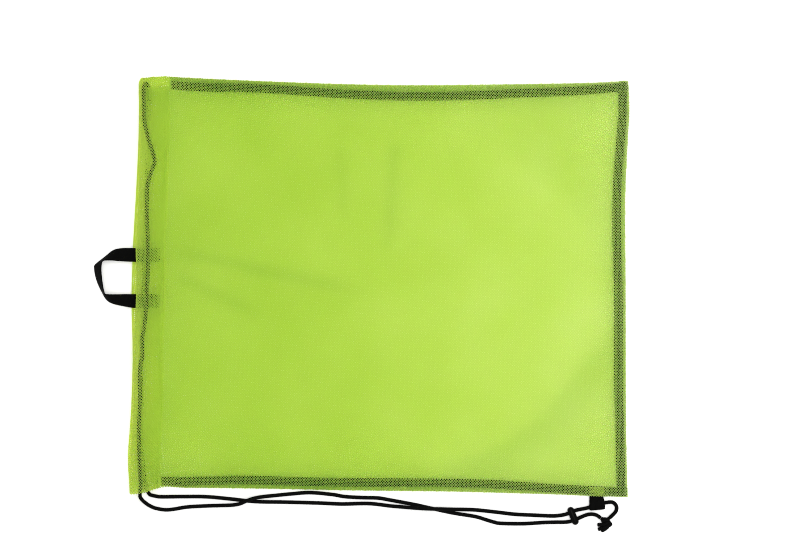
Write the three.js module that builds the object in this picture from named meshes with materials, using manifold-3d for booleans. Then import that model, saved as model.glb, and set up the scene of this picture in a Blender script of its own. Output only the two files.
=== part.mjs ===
// A net swim bag lying flat, mouth to the left: two net panels sewn together along three edges, a hem
// tunnel with a drawcord at the open mouth, a webbing loop, and the drawcord's two strands with their lock.
// Millimetres. X runs from the mouth to the bag's bottom seam, Y across the bag, Z up from the surface.
// The origin is the middle of the bag, on the surface that it lies on.
import * as THREE from 'three';
import Module from 'manifold-3d';

// The bag's flat size, and the cloth
const bagLength = 592;
const bagWidth = 492;
const mouthX = -295;
const cloth = 1.0;
const sewnGap = 0.3;
const seamRise = 1.5;
const rimReach = 45;
const bodyHeight = 10.5;

// The hem tunnel at the mouth, and how far the mouth stands open
const hemWidth = 36;
const tunnelHeight = 5.6;
const tunnelFlat = 30;
const hemHeight = tunnelHeight + 2 * cloth;
const hemFoldRadius = (tunnelHeight + cloth) / 2;
const hemEndInset = 13;
const cornerReach = 10;
const mouthOpen = 6.4;
const mouthSlope = 170;

// The drawcord, its lock and its tab
const cordWidth = 4.7;
const lyingZ = cordWidth / 2 + 0.1;
const lockSize = { length: 22.6, thick: 8.4, holeSpacing: 10, hole: 5.4, turnDeg: 22, x: 233.2, y: -276.4 };
const tabSize = {
  left: 253, rootRight: 269.4, right: 271.4, tipLeft: -270.2, tipRight: -268.6,
  thick: 1.4, gap: 5.5, lift: 2.5,
};

// The webbing and the seam tape
const webbingThick = 1.4;
const tape = { width: 10.2, thick: 1.0, start: 38, end: 1.2 };

// How far each edge of the bag bows out from its straight line, in millimetres.
// "at" runs 0 to 1 from the mouth to the bottom seam, or from the lower edge to the upper one.
const upperEdge = [
  { at: 0, mm: 4.2 }, { at: 0.022, mm: 5.2 }, { at: 0.05, mm: 6.2 }, { at: 0.085, mm: 4.7 },
  { at: 0.15, mm: 2.7 }, { at: 0.29, mm: -0.8 }, { at: 0.43, mm: -3.6 }, { at: 0.57, mm: -4.7 },
  { at: 0.78, mm: -3.4 }, { at: 0.93, mm: -1.7 }, { at: 1, mm: 0.6 },
];
const lowerEdge = [
  { at: 0, mm: 3.4 }, { at: 0.01, mm: 3.2 }, { at: 0.032, mm: 1 }, { at: 0.058, mm: -4.2 },
  { at: 0.072, mm: -5.4 }, { at: 0.085, mm: -4.7 }, { at: 0.103, mm: -3.6 }, { at: 0.15, mm: -3.4 },
  { at: 0.29, mm: -2.2 }, { at: 0.45, mm: -0.3 }, { at: 0.64, mm: 1 }, { at: 0.78, mm: 3.2 },
  { at: 0.86, mm: 4.6 }, { at: 0.93, mm: 6.4 }, { at: 1, mm: 7.6 },
];
const seamEdge = [
  { at: 0, mm: 1.8 }, { at: 0.15, mm: 0.1 }, { at: 0.5, mm: -0.5 }, { at: 0.72, mm: -0.9 },
  { at: 0.86, mm: 2.1 }, { at: 0.93, mm: 4 }, { at: 1, mm: 2.5 },
];
const backMouthEdge = [
  { at: 0, mm: 4.6 }, { at: 0.05, mm: 6 }, { at: 0.09, mm: 6.6 }, { at: 0.135, mm: 5.2 },
  { at: 0.2, mm: 2.8 }, { at: 0.33, mm: 1 }, { at: 0.47, mm: 2.2 }, { at: 0.6, mm: 0.3 },
  { at: 0.74, mm: -3.6 }, { at: 0.86, mm: -6.2 }, { at: 1, mm: -7 },
];
const frontMouthEdge = [
  { at: 0, mm: 3 }, { at: 0.05, mm: 2.8 }, { at: 0.09, mm: 2 }, { at: 0.135, mm: 0.5 },
  { at: 0.23, mm: -2 }, { at: 0.36, mm: -1.6 }, { at: 0.45, mm: -4.7 }, { at: 0.53, mm: -5.4 },
  { at: 0.6, mm: -4.8 }, { at: 0.68, mm: -7 }, { at: 0.84, mm: -9.2 }, { at: 1, mm: -8.6 },
];
// How far in from each sewn edge the seam tape starts.
const lowerTape = [
  { at: 0.05, mm: 0.9 }, { at: 0.15, mm: 3.2 }, { at: 0.22, mm: 4.8 }, { at: 0.36, mm: 4.2 },
  { at: 0.5, mm: 4.6 }, { at: 0.72, mm: 5 }, { at: 0.79, mm: 3.5 }, { at: 0.86, mm: 1.7 },
  { at: 0.93, mm: 1.2 }, { at: 1, mm: 1.1 },
];
const endTape = [
  { at: 0, mm: 2.4 }, { at: 0.14, mm: 2.3 }, { at: 0.3, mm: 3.8 }, { at: 0.47, mm: 3.4 },
  { at: 0.64, mm: 5.2 }, { at: 0.8, mm: 4.6 }, { at: 0.9, mm: 3.1 }, { at: 1, mm: 2.4 },
];
const upperTape = [
  { at: 0.05, mm: 5 }, { at: 0.15, mm: 5 }, { at: 0.22, mm: 3.6 }, { at: 0.3, mm: 4.3 },
  { at: 0.43, mm: 7 }, { at: 0.57, mm: 8.2 }, { at: 0.7, mm: 7.4 }, { at: 0.79, mm: 5.4 },
  { at: 0.86, mm: 4.7 }, { at: 0.93, mm: 3 }, { at: 1, mm: 1.2 },
];

// The creases that stand up in the front panel: each runs from one point to another.
const creases = [
  { fromX: -251, fromY: 43, toX: 0, toY: -11, halfWidth: 22, rise: 2.6 },
  { fromX: -245, fromY: 13, toX: -130, toY: -40, halfWidth: 20, rise: 2.2 },
  { fromX: -46, fromY: 170, toX: -42, toY: 75, halfWidth: 18, rise: 1.6 },
  { fromX: 20, fromY: 175, toX: 10, toY: 30, halfWidth: 22, rise: 2.2 },
];
// The round crease in the corner between the lower edge and the bottom seam
const roundCrease = { x: 71, y: -26, radius: 192, fromDeg: -88, toDeg: -12, halfWidth: 24, rise: 2.4 };

// The webbing loop's two long edges, from one sewn end round to the other. Its ends lie on the back hem.
const legZ = hemHeight + 0.6 + webbingThick / 2;
const handleRows = [
  { innerX: -263, innerY: 29.2, innerZ: legZ, outerX: -263, outerY: 46, outerZ: legZ },
  { innerX: -292, innerY: 28.9, innerZ: legZ, outerX: -292, outerY: 45.7, outerZ: legZ },
  { innerX: -309, innerY: 29.6, innerZ: 9.8, outerX: -309.5, outerY: 45.4, outerZ: 7 },
  { innerX: -321, innerY: 30.6, innerZ: 12.6, outerX: -320.5, outerY: 42.6, outerZ: 3 },
  { innerX: -330, innerY: 30, innerZ: 14.6, outerX: -332, outerY: 33.4, outerZ: 1 },
  { innerX: -331.6, innerY: 25.4, innerZ: 15.4, outerX: -342, outerY: 25.6, outerZ: 0.9 },
  { innerX: -331.9, innerY: 18, innerZ: 15.4, outerX: -342.9, outerY: 20.4, outerZ: 0.9 },
  { innerX: -331.1, innerY: 9, innerZ: 15.4, outerX: -341.6, outerY: 12, outerZ: 0.9 },
  { innerX: -330, innerY: 1, innerZ: 15.4, outerX: -338.6, outerY: 2.6, outerZ: 0.9 },
  { innerX: -328.9, innerY: -5.6, innerZ: 15.4, outerX: -333.8, outerY: -7, outerZ: 0.9 },
  { innerX: -327.6, innerY: -9.2, innerZ: 14.6, outerX: -327.4, outerY: -17.4, outerZ: 1 },
  { innerX: -319, innerY: -9.9, innerZ: 12.4, outerX: -319.6, outerY: -21.6, outerZ: 2.8 },
  { innerX: -306, innerY: -9.7, innerZ: 9.8, outerX: -306, outerY: -24.6, outerZ: 5.6 },
  { innerX: -292, innerY: -9.7, innerZ: legZ, outerX: -292, outerY: -26.4, outerZ: legZ },
  { innerX: -263, innerY: -9.7, innerZ: legZ, outerX: -263, outerY: -26.5, outerZ: legZ },
];

// The drawcord's run in the front hem, from the lower end to the upper corner
const frontHemRoute = [
  [-286.2, -246], [-285.2, -238], [-286.2, -226.8], [-286.6, -211], [-286.9, -172.8], [-285.4, -136.8],
  [-285.9, -110.4], [-284.9, -93.6], [-282.6, -82.8], [-282.8, -63.6], [-280.3, -48], [-278.1, -28.8],
  [-276.9, 0], [-276, 22], [-276.1, 55], [-277.1, 86.4], [-277.1, 112.8], [-275.3, 124.8], [-272.4, 135.6],
  [-269, 144], [-268, 151.2], [-271.4, 163.2], [-274.2, 172.2], [-278.3, 186], [-280.7, 199.7],
  [-281, 218.4],
];
// Its turn round the mouth's upper corner into the back hem, and its run back to the lower end
const cornerTurn = { frontX: -281.8, backX: -277, startY: 236, reach: 7.5 };
const backHemRoute = [[-276.8, 222], [-279, 130], [-283, 0], [-286, -130], [-284.6, -200], [-280.6, -240.6]];
// Where the two strands leave the hem
const frontExit = [-286.4, -250.4, 11.2];
const backExit = [-277.4, -248.2, 3.6];
const exitGap = 0.45;

// The two free strands, each from its hem end to the knot: X, Y and the height above a lying cord
const frontStrandRoute = [
  [-286, -253.4, 8.2], [-283.2, -257.7, 5.6], [-279.8, -261, 3.5], [-275.4, -264.3, 1.8],
  [-268.4, -267.4, 0.5], [-256.7, -269.3, 0], [-246, -268.4, 0], [-230.6, -265.9, 0], [-207.6, -264.6, 0],
  [-188.9, -264, 0.7], [-176.9, -263.3, 2.6], [-167.6, -261.6, 4.6], [-158.5, -257.7, 5.3],
  [-149.2, -254.7, 4.2], [-138.5, -253.2, 1.7], [-125.2, -252, 0.3], [-104, -250, 0], [-82.5, -248.6, 0],
  [-56.1, -250.9, 0], [-41.1, -253.4, 0], [-20, -254.6, 0], [-1.3, -255.1, 0], [13.8, -257.6, 0],
  [43.7, -263.2, 0], [58.6, -266.5, 0], [88.2, -272.9, 0], [115.2, -277.3, 0], [128.2, -281.1, 0],
  [138.2, -284.1, 0], [146.7, -285.6, 0], [173, -286, 0], [198, -284.6, 0], [213, -284.2, 0.2],
  [222, -284, 1], [230, -283, 1.75], [239.9, -279.1, 1.75], [248.5, -275.6, 1.2], [255, -274.4, 0.6],
  [261.4, -275.6, 0.6], [266.6, -279, 1.4],
];
const backStrandRoute = [
  [-275.2, -251, 0.9], [-269.2, -252.7, 0], [-261.7, -253.6, 0], [-238.3, -253.4, 0], [-207.6, -253.6, 0],
  [-176.9, -256.4, 0], [-148, -259.4, 0], [-110, -260.1, 0], [-71, -261.2, 0], [-44.1, -262.3, 0],
  [-12.2, -261.8, 0], [13.8, -264.6, 0.5], [28.7, -265.6, 2.6], [43.7, -266.6, 4.6], [58.6, -267.4, 5.2],
  [73.6, -267.7, 5.1], [88.2, -268.3, 3.4], [103.3, -268.8, 0.9], [118.2, -269.6, 0], [140.6, -272, 0],
  [163.1, -274.6, 0], [185.2, -275.7, 0], [207.9, -276.6, 0.2], [218.2, -275.8, 1], [226.4, -273.8, 1.75],
  [236.2, -269.8, 1.75], [244.5, -268, 1.75], [249.5, -267, 1.75], [254, -265.7, 1.75], [262, -263.1, 1.75],
  [270, -261, 1.7], [277.1, -259.9, 1.2], [281, -260.3, 0.7], [284.1, -262.5, 0.2], [285.8, -266, 0],
  [285.4, -269.9, 0.1], [283.7, -272.6, 0.5], [280.2, -276, 1.2], [276.7, -279, 1.9],
];
// The knot's four wraps and its two cut ends
const knotWraps = [
  { x: 271.6, y: -280.6, ring: 2.5, turnDeg: -4 },
  { x: 272.6, y: -284.2, ring: 3.9, turnDeg: 8 },
  { x: 273.7, y: -287.8, ring: 4.9, turnDeg: 20 },
  { x: 271.2, y: -291.6, ring: 3.9, turnDeg: 34 },
];
const knotCore = { x: 272.4, y: -286.4, z: 4.6, halfX: 6.4, halfY: 7.8, halfZ: 3.9 };
const knotFlatten = 0.62;
const knotEnds = [
  { fromX: 270.5, fromY: -287.6, toX: 263, toY: -287.4, z: 3 },
  { fromX: 269, fromY: -291, toX: 263.4, toY: -292.8, z: 2.6 },
];

const wasm = await Module();
wasm.setup();
const { Manifold, Mesh } = wasm;

const mix = (low, high, share) => low + (high - low) * share;

function smooth(from, to, value) {
  const share = Math.min(Math.max((value - from) / (to - from), 0), 1);
  return share * share * (3 - 2 * share);
}

// A smooth curve through a table's rows, read at one place.
function readTable(rows, at) {
  let index = 0;
  while (index < rows.length - 2 && at > rows[index + 1].at) index += 1;
  const slope = (first, last) => (last.mm - first.mm) / (last.at - first.at);
  const here = rows[index];
  const next = rows[index + 1];
  const before = rows[Math.max(index - 1, 0)];
  const after = rows[Math.min(index + 2, rows.length - 1)];
  const span = next.at - here.at;
  const share = (at - here.at) / span;
  const startSlope = slope(before, next) * span;
  const endSlope = slope(here, after) * span;
  const startWeight = (1 + 2 * share) * (1 - share) * (1 - share);
  const endWeight = share * share * (3 - 2 * share);
  const curve = share * (1 - share) * ((1 - share) * startSlope - share * endSlope);
  return startWeight * here.mm + endWeight * next.mm + curve;
}

// A quarter of an ellipse: the cloth's rise from a sewn edge, 0 at the edge and 1 at the reach.
function rim(distance, reach) {
  const left = 1 - Math.min(Math.max(distance / reach, 0), 1);
  return Math.sqrt(1 - left * left);
}

// The bag's outline: "run" is the distance from the mouth, "across" is 0 at the lower edge and 1 at the
// upper one.
const lowerY = (run) => -bagWidth / 2 - readTable(lowerEdge, run / bagLength);
const upperY = (run) => bagWidth / 2 + readTable(upperEdge, run / bagLength);

function planX(mouthEdge, run, across) {
  const mouth = mouthX - readTable(mouthEdge, across);
  const seam = mouthX + bagLength + readTable(seamEdge, across);
  return mix(mouth, seam, run / bagLength);
}

const planY = (run, across) => mix(lowerY(run), upperY(run), across);
const acrossAt = (run, y) => (y - lowerY(run)) / (upperY(run) - lowerY(run));

// How high a crease stands at a point: a rounded ridge that fades at both ends.
const ridge = (distance, halfWidth) => 1 - smooth(0, halfWidth, distance);

function creaseRise(x, y) {
  let rise = 0;
  for (const crease of creases) {
    const along = new THREE.Vector2(crease.toX - crease.fromX, crease.toY - crease.fromY);
    const length = along.length();
    along.normalize();
    const place = (x - crease.fromX) * along.x + (y - crease.fromY) * along.y;
    const aside = Math.abs((y - crease.fromY) * along.x - (x - crease.fromX) * along.y);
    const fade = smooth(0, length * 0.25, place) * smooth(0, length * 0.4, length - place);
    rise += crease.rise * fade * ridge(aside, crease.halfWidth);
  }
  const round = roundCrease;
  const turn = THREE.MathUtils.radToDeg(Math.atan2(y - round.y, x - round.x));
  const aside = Math.abs(Math.hypot(x - round.x, y - round.y) - round.radius);
  const fade = smooth(round.fromDeg, round.fromDeg + 25, turn) * smooth(0, 25, round.toDeg - turn);
  return rise + round.rise * fade * ridge(aside, round.halfWidth);
}

// The back panel lies on the surface and lifts a little along the sewn edges.
function backLift(run, across) {
  const sewn = smooth(hemWidth + 2, hemWidth + 26, run);
  const width = upperY(run) - lowerY(run);
  const fromSides = smooth(0, 18, across * width) * smooth(0, 18, (1 - across) * width);
  return cloth / 2 + seamRise * sewn * (1 - fromSides * smooth(0, 18, bagLength - run));
}

// The front panel's middle surface: up from the sewn edges, over the open mouth at the hem.
function frontLift(run, across) {
  const x = planX(frontMouthEdge, run, across);
  const y = planY(run, across);
  const width = upperY(run) - lowerY(run);
  const sewn = smooth(hemWidth + 1, hemWidth + 24, run);
  const edge = cloth / 2 + cloth + sewnGap + (seamRise + tape.thick + 1.6 * sewnGap) * sewn;
  const gape = smooth(0, 0.2, across) * smooth(0, 0.2, 1 - across);
  const hemCrest = 2 * hemHeight + sewnGap + (mouthOpen - sewnGap) * gape - cloth / 2;
  const crest = mix(hemCrest, bodyHeight + creaseRise(x, y), smooth(hemWidth, mouthSlope, run));
  const lowerRim = mix(1, rim(across * width, rimReach), sewn);
  const upperReach = mix(cornerReach, rimReach, smooth(hemWidth, hemWidth + 60, run));
  const upperRim = rim((1 - across) * width, upperReach);
  const endRim = rim(bagLength - run, rimReach);
  const leftOfTab = smooth(tabSize.left - 5, tabSize.left - 0.8, x);
  const rightOfTab = smooth(tabSize.right + 5, tabSize.right + 0.8, x);
  const tabLift = tabSize.lift * leftOfTab * rightOfTab * (1 - smooth(0, 26, across * width));
  return edge + (crest - edge) * lowerRim * upperRim * endRim + tabLift;
}

// A closed sheet from a grid of points on its middle surface.
function sheet(grid, thick) {
  const rows = grid.length;
  const columns = grid[0].length;
  const corners = [];
  const clamp = THREE.MathUtils.clamp;
  const place = (row, column) => grid[clamp(row, 0, rows - 1)][clamp(column, 0, columns - 1)];
  for (const side of [1, -1]) {
    for (let row = 0; row < rows; row += 1) {
      for (let column = 0; column < columns; column += 1) {
        const down = place(row + 1, column).clone().sub(place(row - 1, column));
        const over = place(row, column + 1).clone().sub(place(row, column - 1));
        const normal = down.cross(over).normalize();
        corners.push(place(row, column).clone().addScaledVector(normal, side * thick / 2));
      }
    }
  }
  const top = (row, column) => row * columns + column;
  const under = (row, column) => rows * columns + top(row, column);
  const faces = [];
  const quad = (first, second, third, fourth) => faces.push(first, second, third, first, third, fourth);
  for (let row = 0; row < rows - 1; row += 1) {
    for (let column = 0; column < columns - 1; column += 1) {
      quad(top(row, column), top(row + 1, column), top(row + 1, column + 1), top(row, column + 1));
      quad(under(row, column), under(row, column + 1), under(row + 1, column + 1), under(row + 1, column));
    }
  }
  for (let row = 0; row < rows - 1; row += 1) {
    const last = columns - 1;
    quad(top(row + 1, 0), top(row, 0), under(row, 0), under(row + 1, 0));
    quad(top(row, last), top(row + 1, last), under(row + 1, last), under(row, last));
  }
  for (let column = 0; column < columns - 1; column += 1) {
    const last = rows - 1;
    quad(top(0, column), top(0, column + 1), under(0, column + 1), under(0, column));
    quad(top(last, column + 1), top(last, column), under(last, column), under(last, column + 1));
  }
  const geometry = new THREE.BufferGeometry().setFromPoints(corners);
  geometry.setIndex(faces);
  return geometry;
}

// Places from 0 to "length": close together at the sewn edges, even between them.
function spread(length, startSteps, endSteps, count) {
  const start = startSteps.at(-1);
  const end = length - endSteps.at(-1);
  const middle = Array.from({ length: count - 1 }, (_, index) => mix(start, end, (index + 1) / count));
  return [...startSteps, ...middle, ...endSteps.map((step) => length - step).reverse()];
}

// A panel's path from the bottom seam to the mouth, round the hem's fold and back to the stitch line.
// "fold" is how far the hem layer lies from the panel's outer layer. "inset" is the share of the
// distance by which the hem's inner layer stops short of the upper corner, where the cord turns.
function panelPath(seamSteps, count) {
  const body = spread(bagLength - hemWidth, seamSteps, [0], count);
  const path = body.map((step) => ({ run: bagLength - step, fold: 0, inset: 0 }));
  path.push({ run: tunnelFlat, fold: 0, inset: 0 }, { run: 12, fold: 0, inset: 0 });
  const foldTurns = 4;
  for (let turn = 0; turn <= foldTurns; turn += 1) {
    const angle = Math.PI * turn / foldTurns;
    const share = (1 - Math.cos(angle)) / 2;
    path.push({ run: hemFoldRadius * (1 - Math.sin(angle)), fold: 2 * hemFoldRadius * share, inset: share });
  }
  const inner = 2 * hemFoldRadius;
  path.push({ run: 12, fold: inner, inset: 1 }, { run: tunnelFlat, fold: inner, inset: 1 });
  path.push({ run: hemWidth, fold: cloth + sewnGap, inset: 1 });
  return path;
}

function panelPoint(mouthEdge, step, across, lift, direction) {
  const y = mix(lowerY(step.run), upperY(step.run) - hemEndInset * step.inset, across);
  const place = acrossAt(step.run, y);
  const z = lift(step.run, place) + direction * step.fold;
  return new THREE.Vector3(planX(mouthEdge, step.run, place), y, z);
}

function panel(mouthEdge, lift, direction, path, acrossSteps) {
  const row = (step) => acrossSteps.map((across) => panelPoint(mouthEdge, step, across, lift, direction));
  return sheet(path.map(row), cloth);
}

const fineSteps = [0, 2, 5, 10, 18, 30, 48];
const coarseSteps = [0, 4, 10, 17];
const tabSteps = [0, 2, 5, 10, 16, 21, 25.2, 45.4, 50];
const frontAcross = spread(bagWidth, fineSteps, fineSteps, 15).map((step) => step / bagWidth);
const backAcross = spread(bagWidth, coarseSteps, coarseSteps, 7).map((step) => step / bagWidth);
const frontPanel = panel(frontMouthEdge, frontLift, -1, panelPath(tabSteps, 19), frontAcross);
const backPanel = panel(backMouthEdge, backLift, 1, panelPath(coarseSteps, 9), backAcross);

// The seam tape lies on the back panel, a little way in from the sewn edge.
const tapeLift = (run, across) => backLift(run, across) + cloth / 2 + 1.6 * sewnGap + tape.thick / 2;

function tapePoint(run, across) {
  return new THREE.Vector3(planX(backMouthEdge, run, across), planY(run, across), tapeLift(run, across));
}

function sideTape(insetTable, upper) {
  const steps = spread(bagLength - tape.end - tape.start, [0], [0], 26).map((step) => tape.start + step);
  const grid = steps.map((run) => [0, 0.5, 1].map((share) => {
    const inset = (readTable(insetTable, run / bagLength) + tape.width * share) / bagWidth;
    return tapePoint(run, upper ? 1 - inset : inset);
  }));
  return sheet(upper ? grid.reverse() : grid, tape.thick);
}

function acrossTape() {
  const corner = 1 - 1.5 * tape.width / bagLength;
  const low = (readTable(lowerTape, corner) + tape.width + sewnGap) / bagWidth;
  const high = 1 - (readTable(upperTape, corner) + tape.width + sewnGap) / bagWidth;
  const steps = spread(high - low, [0], [0], 20).map((step) => low + step);
  const grid = steps.map((across) => [0, 0.5, 1].map((share) => (
    tapePoint(bagLength - readTable(endTape, across) - tape.width * share, across))));
  return sheet(grid, tape.thick);
}

// The webbing loop: a strip between its two edges
function handleLoop() {
  const edge = (name) => new THREE.CatmullRomCurve3(handleRows.map((row) => (
    new THREE.Vector3(row[`${name}X`], row[`${name}Y`], row[`${name}Z`]))));
  const inner = edge('inner');
  const outer = edge('outer');
  const steps = 3 * (handleRows.length - 1);
  const grid = [];
  for (let step = 0; step <= steps; step += 1) {
    const share = step / steps;
    const first = outer.getPoint(share);
    const last = inner.getPoint(share);
    grid.push([first, first.clone().lerp(last, 0.5), last]);
  }
  return sheet(grid, webbingThick);
}

// The tab: webbing folded over the cord, its two layers held between the panels' edges
function cordTab() {
  const run = tabSize.left - mouthX + (tabSize.right - tabSize.left) / 2;
  const edgeY = lowerY(run);
  const rootZ = cloth + seamRise + sewnGap + tabSize.thick / 2;
  const lowZ = tabSize.thick / 2;
  const radius = (tabSize.gap + tabSize.thick) / 2;
  const centreY = (tabSize.tipLeft + tabSize.tipRight) / 2 + radius + tabSize.thick / 2;
  const slope = (tabSize.tipLeft - tabSize.tipRight) / (tabSize.left - tabSize.right);
  const middleX = (tabSize.left + tabSize.right) / 2;
  const section = [[edgeY + 0.6, rootZ], [edgeY - 0.4, rootZ], [edgeY - 6.5, lowZ]];
  for (let turn = 0; turn <= 6; turn += 1) {
    const angle = Math.PI * turn / 6;
    section.push([centreY - radius * Math.sin(angle), lowZ + radius * (1 - Math.cos(angle))]);
  }
  const upperZ = rootZ + tabSize.thick + sewnGap;
  section.push([edgeY - 6.5, lowZ + 2 * radius], [edgeY - 0.4, upperZ], [edgeY + 0.6, upperZ]);
  const rightAt = (y) => mix(tabSize.rootRight, tabSize.right, smooth(edgeY, edgeY - 9, y));
  const tipped = (x, y) => y + slope * (x - middleX) * smooth(edgeY, centreY, y);
  const grid = section.map(([y, z]) => (
    [rightAt(y), tabSize.left].map((x) => new THREE.Vector3(x, tipped(x, y), z))));
  return sheet(grid, tabSize.thick);
}

// A cord follows its points one by one, so that a tight turn has as many steps as its points give it.
class CordRoute extends THREE.CatmullRomCurve3 {
  getPointAt(share, target) {
    return this.getPoint(share, target);
  }

  getTangentAt(share, target) {
    return this.getTangent(share, target);
  }
}

function cord(points, stepsPerPoint) {
  const section = new THREE.Shape();
  section.absarc(0, 0, cordWidth / 2, 0, 2 * Math.PI);
  const route = new CordRoute(points, false, 'centripetal');
  return new THREE.ExtrudeGeometry(section, {
    steps: stepsPerPoint * (points.length - 1),
    extrudePath: route,
    bevelEnabled: false,
    curveSegments: 4,
  });
}

const toPoint = ([x, y, z]) => new THREE.Vector3(x, y, z);

function between(first, last, distance) {
  return first.clone().addScaledVector(last.clone().sub(first).normalize(), distance);
}

// In the front hem the cord runs in the middle of the tunnel.
function tunnelPoint([x, y]) {
  const across = acrossAt(0, y);
  const run = x - planX(frontMouthEdge, 0, across);
  return new THREE.Vector3(x, y, frontLift(run, across) - hemFoldRadius);
}

const backTunnelZ = cloth + tunnelHeight / 2;

// At the corner the cord turns back on a half ellipse that leans from the front tunnel to the back one.
function turnPoints() {
  const { frontX, backX, startY, reach } = cornerTurn;
  const frontZ = tunnelPoint([frontX, startY]).z;
  const turns = 6;
  return Array.from({ length: turns + 1 }, (_, turn) => {
    const angle = Math.PI * turn / turns;
    const share = (1 - Math.cos(angle)) / 2;
    const y = startY + reach * Math.sin(angle);
    return new THREE.Vector3(mix(frontX, backX, share), y, mix(frontZ, backTunnelZ, share));
  });
}

const frontHemPoints = frontHemRoute.map(tunnelPoint);
const backHemPoints = backHemRoute.map(([x, y]) => new THREE.Vector3(x, y, backTunnelZ));
const hemCordPoints = [
  between(toPoint(frontExit), frontHemPoints[0], exitGap),
  ...frontHemPoints,
  ...turnPoints(),
  ...backHemPoints,
  between(toPoint(backExit), backHemPoints.at(-1), exitGap),
];

function strandPoints(exit, route) {
  const points = route.map(([x, y, lift]) => new THREE.Vector3(x, y, lyingZ + lift));
  return [between(toPoint(exit), points[0], exitGap), ...points];
}

// Joined and cut shapes go through closed solids.
function solid(geometry) {
  const places = new Map();
  const corners = [];
  const faces = [];
  const plain = geometry.index ? geometry.toNonIndexed() : geometry;
  const position = plain.getAttribute('position');
  for (let index = 0; index < position.count; index += 1) {
    const corner = [position.getX(index), position.getY(index), position.getZ(index)];
    const key = corner.map((value) => value.toFixed(4)).join(' ');
    if (!places.has(key)) {
      places.set(key, corners.length / 3);
      corners.push(...corner);
    }
    faces.push(places.get(key));
  }
  const triangles = [];
  for (let index = 0; index < faces.length; index += 3) {
    const [first, second, third] = faces.slice(index, index + 3);
    if (first !== second && second !== third && third !== first) triangles.push(first, second, third);
  }
  return new Manifold(new Mesh({
    numProp: 3,
    vertProperties: Float32Array.from(corners),
    triVerts: Uint32Array.from(triangles),
  }));
}

function surface(manifold) {
  const mesh = manifold.getMesh();
  const geometry = new THREE.BufferGeometry();
  geometry.setAttribute('position', new THREE.BufferAttribute(mesh.vertProperties, 3));
  geometry.setIndex(new THREE.BufferAttribute(mesh.triVerts, 1));
  return geometry;
}

// The cord lock: a round-ended bead with two holes for the strands
function cordLock() {
  const { length, thick, holeSpacing, hole, turnDeg } = lockSize;
  const roundEnd = (side) => Manifold.sphere(thick / 2, 20).translate([0, side * (length - thick) / 2, 0]);
  let shape = Manifold.hull([roundEnd(1), roundEnd(-1)]);
  for (const side of [1, -1]) {
    const bore = new THREE.CylinderGeometry(hole / 2, hole / 2, thick * 2, 16);
    bore.rotateZ(Math.PI / 2);
    bore.translate(0, side * holeSpacing / 2, 0);
    shape = Manifold.difference(shape, solid(bore));
  }
  const geometry = surface(shape);
  geometry.rotateZ(THREE.MathUtils.degToRad(turnDeg));
  geometry.translate(lockSize.x, lockSize.y, thick / 2);
  return geometry;
}

// The knot: wraps of cord round a core, and the two cut ends
function cordKnot() {
  const core = new THREE.IcosahedronGeometry(1, 1);
  core.scale(knotCore.halfX, knotCore.halfY, knotCore.halfZ);
  core.translate(knotCore.x, knotCore.y, knotCore.z);
  let shape = solid(core);
  for (const wrap of knotWraps) {
    const ring = new THREE.TorusGeometry(wrap.ring, cordWidth / 2, 8, 12);
    ring.rotateX(Math.PI / 2);
    ring.scale(1, 1, knotFlatten);
    ring.rotateZ(THREE.MathUtils.degToRad(wrap.turnDeg));
    ring.translate(wrap.x, wrap.y, knotCore.z);
    shape = Manifold.union(shape, solid(ring));
  }
  for (const end of knotEnds) {
    const from = new THREE.Vector3(end.fromX, end.fromY, end.z + 1.4);
    const to = new THREE.Vector3(end.toX, end.toY, end.z);
    shape = Manifold.union(shape, solid(cord([from, to], 1)));
  }
  return surface(shape);
}

const netCloth = new THREE.MeshStandardMaterial({ color: '#aed83f', roughness: 0.6 });
const blackWebbing = new THREE.MeshStandardMaterial({ color: '#121310', roughness: 0.8 });
const blackTape = new THREE.MeshStandardMaterial({ color: '#1b1c18', roughness: 0.85 });
const blackCord = new THREE.MeshStandardMaterial({ color: '#0d0d0c', roughness: 0.7 });
const blackPlastic = new THREE.MeshStandardMaterial({ color: '#1d1d1b', roughness: 0.45 });

const pieces = [
  { name: 'front_panel', geometry: frontPanel, material: netCloth },
  { name: 'back_panel', geometry: backPanel, material: netCloth },
  { name: 'seam_binding_low', geometry: sideTape(lowerTape, false), material: blackTape },
  { name: 'seam_binding_end', geometry: acrossTape(), material: blackTape },
  { name: 'seam_binding_high', geometry: sideTape(upperTape, true), material: blackTape },
  { name: 'handle_loop', geometry: handleLoop(), material: blackWebbing },
  { name: 'cord_tab', geometry: cordTab(), material: blackWebbing },
  { name: 'hem_cord', geometry: cord(hemCordPoints, 2), material: blackCord },
  { name: 'front_strand', geometry: cord(strandPoints(frontExit, frontStrandRoute), 1), material: blackCord },
  { name: 'back_strand', geometry: cord(strandPoints(backExit, backStrandRoute), 1), material: blackCord },
  { name: 'cord_lock', geometry: cordLock(), material: blackPlastic },
  { name: 'cord_knot', geometry: cordKnot(), material: blackCord },
];

const bag = new THREE.Group();
bag.name = 'mesh_swim_bag';
for (const piece of pieces) {
  const mesh = new THREE.Mesh(piece.geometry, piece.material);
  mesh.name = piece.name;
  bag.add(mesh);
}

export default bag;
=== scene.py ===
# Mesh swim bag lying flat, seen from straight above: lime net panels, black tape, webbing and drawcord.
# Shapes are worked out in millimetres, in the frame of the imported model, and become metres in the meshes.
import math

import bpy
import numpy as np
from mathutils import Matrix


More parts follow.
